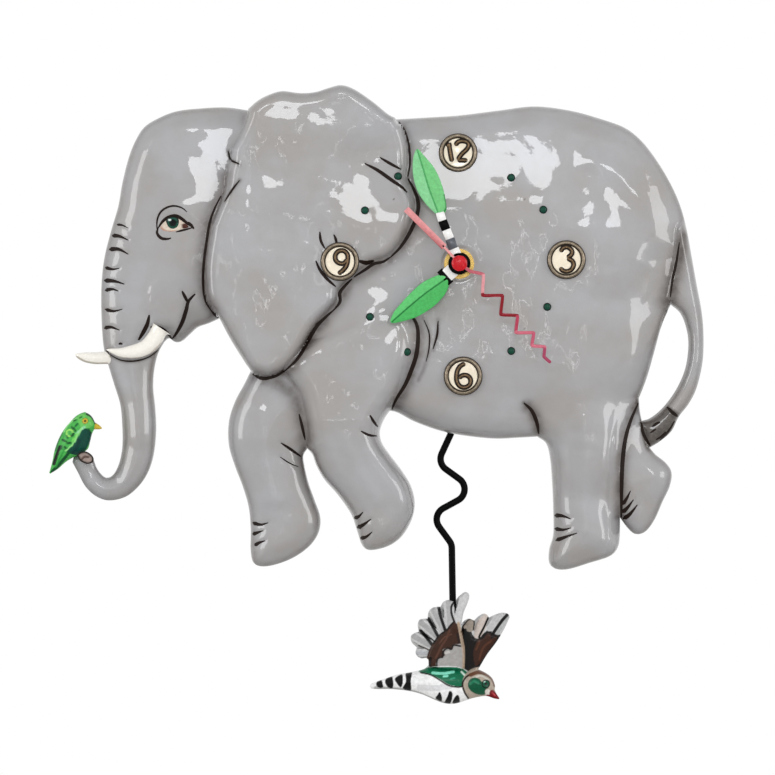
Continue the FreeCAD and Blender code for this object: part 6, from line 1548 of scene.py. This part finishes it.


# The flying bird's paint: feathers, wings, body, lines and bars, with painted highlights on the green band
# and in the eye and painted shade along the body's underside
BIRD_PAINT_AND_LIGHT = [([tip, root], width * 0.5, shade) for tip, root, width, _, shade in FEATHERS] + [
    ([(439, 609), (441, 618), (446, 633)], 3.2, "0B0908"),
    ([(429, 621), (434, 630), (440, 641)], 3.4, "0B0908"),
    ([(421, 633), (428, 641), (435, 650)], 3.4, "0B0908"),
    ([(419, 648), (425, 650), (431, 653)], 1.4, "3A3028"),
    ([(455, 603), (452, 608), (452, 615), (455, 624), (458, 631)], 2.2, "120C0A"),
    (FAR_WING, 0, "0E0907"),
    ([(476, 668), (474, 655), (478, 643), (484, 638), (490, 636), (498, 640), (490, 652), (482, 664)], 0,
     "3A2015"),
    ([(480, 662), (484, 650), (492, 643)], 2.0, "54301F"), ([(477, 652), (480, 644)], 2.0, "54301F"),
    ([(464, 629), (469, 623), (474, 622), (475, 631), (470, 634)], 0, "A2968A"),
    ([(464, 628), (468, 623), (472, 621), (475, 624), (474, 632)], 1.2, "1A120D"),
    ([(476, 628), (481, 620), (487, 617), (489, 621), (486, 631), (481, 640), (475, 639)], 0, "D2C6BE"),
    ([(489, 620), (485, 629), (480, 639), (483, 640), (488, 634)], 2.2, "0B0908"),
    ([(509, 616), (502, 624), (493, 637)], 3.2, "0B0908"),
    ([(481, 641), (486, 635), (492, 634)], 1.4, "0B0908"),
    ([(492, 640), (497, 638), (503, 639), (494, 651), (480, 672)], 1.6, "0B0908"), (COVERT, 0, "3B2318"),
    ([(434, 645), (440, 637), (447, 632), (451, 627), (455, 623)], 1.8, "120B08"),
    ([(450, 632), (447, 640), (442, 648), (436, 660)], 2.2, "55362A"),
    ([(440, 645), (445, 639), (452, 636)], 1.6, "57382B"), ([(458, 636), (460, 645)], 2.6, "241510"),
    ([(431, 660), (430, 668)], 2.4, "120B08"), (INNER, 0, "A7A4A1"),
    ([(443, 659), (444, 653), (448, 650), (452, 651), (454, 647), (461, 648)], 1.8, "140D0A"),
    ([(437, 669), (438, 661), (443, 659)], 1.6, "140D0A"), ([(446, 655), (449, 654)], 2.6, "C9C6C2"),
    ([(459, 625), (462, 640), (464.5, 655), (464, 671)], 3.0, "B39D88"),
    ([(466, 632), (467, 650), (467, 670)], 3.0, "060505"), (BIRD_BODY, 0, "FAFAFA"),
    # Grey along the body's underside: painted shade
    ([(376, 691), (392, 692), (410, 694), (423, 698), (434, 703), (450, 708)], 4.5, "B9B9B9"),
    ([(420, 690), (436, 690), (450, 688)], 6.0, "E4E4E6"),
    ([(376, 686), (381, 682), (383, 690), (378, 690)], 0, "060606"),
    ([(385, 683), (392, 679), (393, 690), (388, 690)], 0, "060606"),
    ([(395, 681), (402, 677), (403, 684), (401, 690), (397, 686)], 0, "060606"),
    ([(406, 676), (412, 675), (411, 683), (411, 693), (403, 691), (406, 684)], 0, "060606"),
    ([(436, 701), (438, 697), (440, 694), (442, 698), (442, 704)], 0, "060606"),
    ([(445, 706), (448, 698), (450, 693), (453, 696), (451, 706)], 0, "060606"),
    ([(453, 706), (455, 700), (458, 697), (460, 700), (460, 706)], 0, "060606"),
    ([(419, 674), (427, 670), (440, 669), (455, 669), (463, 671), (469, 676), (465, 681), (463, 688),
      (455, 688), (448, 686), (440, 681), (430, 676)], 0, "0B6B49"),
    ([(421, 675), (431, 677), (440, 682), (448, 687), (456, 689), (464, 688), (466, 681), (470, 676)],
     1.5, "0B0B0B"),
    # Pale strokes on the green band: painted highlights
    ([(433, 675), (444, 675.5), (454, 674)], 2.6, "8CE8CC"), ([(444, 678.5), (448, 678)], 2.0, "8CE8CC"),
    ([(451, 681), (455, 680)], 1.6, "2F9A78"), ([(462, 674), (466, 678)], 1.8, "DFF5EA"),
    (circle((480, 687), 17.5), 0, "B8AB9C"),
    ([(469, 701), (465, 694), (463, 686), (466, 680), (470, 677)], 1.8, "1A120D"),
    ([(471, 677), (479, 674.5), (488, 677), (494, 682), (496, 688)], 3.6, "6A4632"),
    ([(474, 680), (482, 678), (489, 682)], 1.8, "D9D2C6"),
    ([(468.5, 688), (470, 682), (475, 679.5), (480, 681), (483, 684), (488, 682.5), (490.5, 686),
      (489, 690), (486, 692), (485.5, 697), (479, 697), (472, 693.5)], 0, "09573B"),
    ([(471, 686), (475, 683), (479, 685)], 2.4, "1E7A58"), (ring_line((486.6, 686), 3.8), 1.2, "07120E"),
    # The pupil, and a pale fleck on it as a painted highlight
    (circle((486.6, 686), 1.5), 0, "030505"), ([(484.8, 684), (485.6, 683.8)], 1.2, "BFE8DA"),
    ([(486, 693), (489, 691.5), (491, 694), (490, 698), (487, 698)], 0, "EFE8E0"),
    ([(491, 693), (495, 693), (500, 701), (494, 701.5), (490.5, 698)], 0, "7D0D16"),
    ([(493, 695), (497, 700)], 1.4, "B33A40"),
]
BIRD = Relief([spans_loop(BIRD_SPANS, 0.5)], bird_height, 4.6, 0.28, [0.0, 0.06, 0.2, 0.5])
flying = BIRD.piece("flying_bird", "pendulum", PAINTED,
                    attributes=lambda flat,
                    heights: painted_front(flat, heights, "CFCFCF", BIRD_PAINT_AND_LIGHT, 0.25))
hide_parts("bird_bob")
BEAK_RIBS = [((490, 691.5), (487, 698.5)), ((493, 692), (490.5, 699.5)), ((497, 696), (494.5, 701)),
             ((500.5, 701), (499.6, 702))]
painted_piece("flying_bird_beak", [ribbed(BEAK_RIBS, 9.2, 2.4)], "pendulum", "7D0D16",
              [([(492, 694), (496, 698)], 1.6, "B84048"), ([(489, 699), (498, 702)], 1.4, "4A070C")])


# Camera, floor and light

FRAME_PIXELS = 775
DISTANCE = 2.4
SENSOR = 36.0
OBJECT_CENTRE = (0.0, -0.03, -0.09)


def point_at(thing, target):
    """Turns a lamp or camera to look at a point."""
    thing.rotation_euler = (Vector(target) - thing.location).to_track_quat("-Z", "Y").to_euler()


centre = plane((FRAME_PIXELS / 2, FRAME_PIXELS / 2)) * MM
camera = bpy.data.objects.new("camera", bpy.data.cameras.new("camera"))
bpy.context.scene.collection.objects.link(camera)
camera.data.sensor_width = SENSOR
camera.data.lens = SENSOR * DISTANCE / (FRAME_PIXELS * PX * MM)
camera.data.clip_end = 20.0
camera.location = (centre[0], OBJECT_CENTRE[1] - DISTANCE, centre[1])
point_at(camera, (centre[0], 0.0, centre[1]))
bpy.context.scene.camera = camera


def lamp(name, place, size, radiance, target=OBJECT_CENTRE, shape="RECTANGLE", colour=(1.0, 1.0, 1.0)):
    """A softbox of a given width and height, whose face gives so much light per area and angle."""
    data = bpy.data.lights.new(name, "AREA")
    data.shape = shape
    data.size, data.size_y = size
    data.color = colour
    data.energy = radiance * math.pi * size[0] * size[1] * (math.pi / 4 if shape == "ELLIPSE" else 1)
    lamp_object = bpy.data.objects.new(name, data)
    bpy.context.scene.collection.objects.link(lamp_object)
    lamp_object.location = place
    point_at(lamp_object, target)
    lamp_object.visible_camera = False
    return lamp_object


COOL = (0.95, 0.97, 1.0)
lamp("front_softbox", (-0.06, -1.55, 0.38), (0.42, 0.4), 7.0, shape="ELLIPSE", colour=COOL)
lamp("side_softbox", (0.5, -1.55, 0.4), (0.24, 0.34), 7.0, colour=COOL)
lamp("left_strip", (-1.5, -0.9, 0.1), (0.6, 1.2), 3.5)
lamp("right_strip", (1.5, -0.9, 0.1), (0.6, 1.2), 3.5)
lamp("low_fill", (0.0, -1.7, -1.0), (1.2, 0.3), 4.2)
# Narrow bars straight ahead of the clock, for the fine upright streaks in its glaze
BAR_FRONT = -1.9
for name, x, z, size, radiance in (
    ("flank_bar", 0.125, -0.09, (0.012, 0.36), 5.0), ("rump_bar", 0.175, -0.1, (0.02, 0.14), 2.2),
    ("head_bar", -0.225, 0.03, (0.03, 0.12), 1.6), ("leg_bar", -0.075, -0.22, (0.012, 0.14), 5.0),
    ("far_leg_bar", -0.15, -0.2, (0.012, 0.2), 5.0)):
    lamp(name, (x, BAR_FRONT, z), size, radiance, (x, 0.0, z))

world = bpy.data.worlds.new("studio")
bpy.context.scene.world = world
world.use_nodes = True
tree = world.node_tree
background = tree.nodes["Background"]
path = add(tree, "LightPath")
seen = add(tree, "Math", {0: path.outputs["Is Camera Ray"], 1: path.outputs["Is Glossy Ray"]},
           operation="MAXIMUM")
seen = add(tree, "Math", {0: seen.outputs[0], 1: path.outputs["Is Transmission Ray"]}, operation="MAXIMUM")
WORLD_LIGHT = 0.62
light = spread(tree, seen.outputs[0], 0.0, 1.0, WORLD_LIGHT, 1.0)
tree.links.new(light, background.inputs["Strength"])
background.inputs["Color"].default_value = (1.0, 1.0, 1.0, 1.0)

FLOOR_HALF, FLOOR_FRONT, FLOOR_REAR, FLOOR_LEVEL = 1.6, -1.8, 0.3, -0.32
floor_mesh = bpy.data.meshes.new("floor")
floor_corners = [(-FLOOR_HALF, FLOOR_FRONT), (FLOOR_HALF, FLOOR_FRONT), (FLOOR_HALF, FLOOR_REAR),
                 (-FLOOR_HALF, FLOOR_REAR)]
floor_mesh.from_pydata([(x, y, FLOOR_LEVEL) for x, y in floor_corners], [], [(0, 1, 2, 3)])
floor = bpy.data.objects.new("floor", floor_mesh)
bpy.context.scene.collection.objects.link(floor)
floor_mesh.materials.append(plain("pale_card", "E9E8E6", 0.8, lump=60.0, shift=0.02))
floor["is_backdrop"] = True

bpy.context.scene.view_settings.view_transform = "Standard"

low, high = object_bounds()
{"cad": [list(c) for c in CAD_BOX], "visual": [list(low), list(high)]}
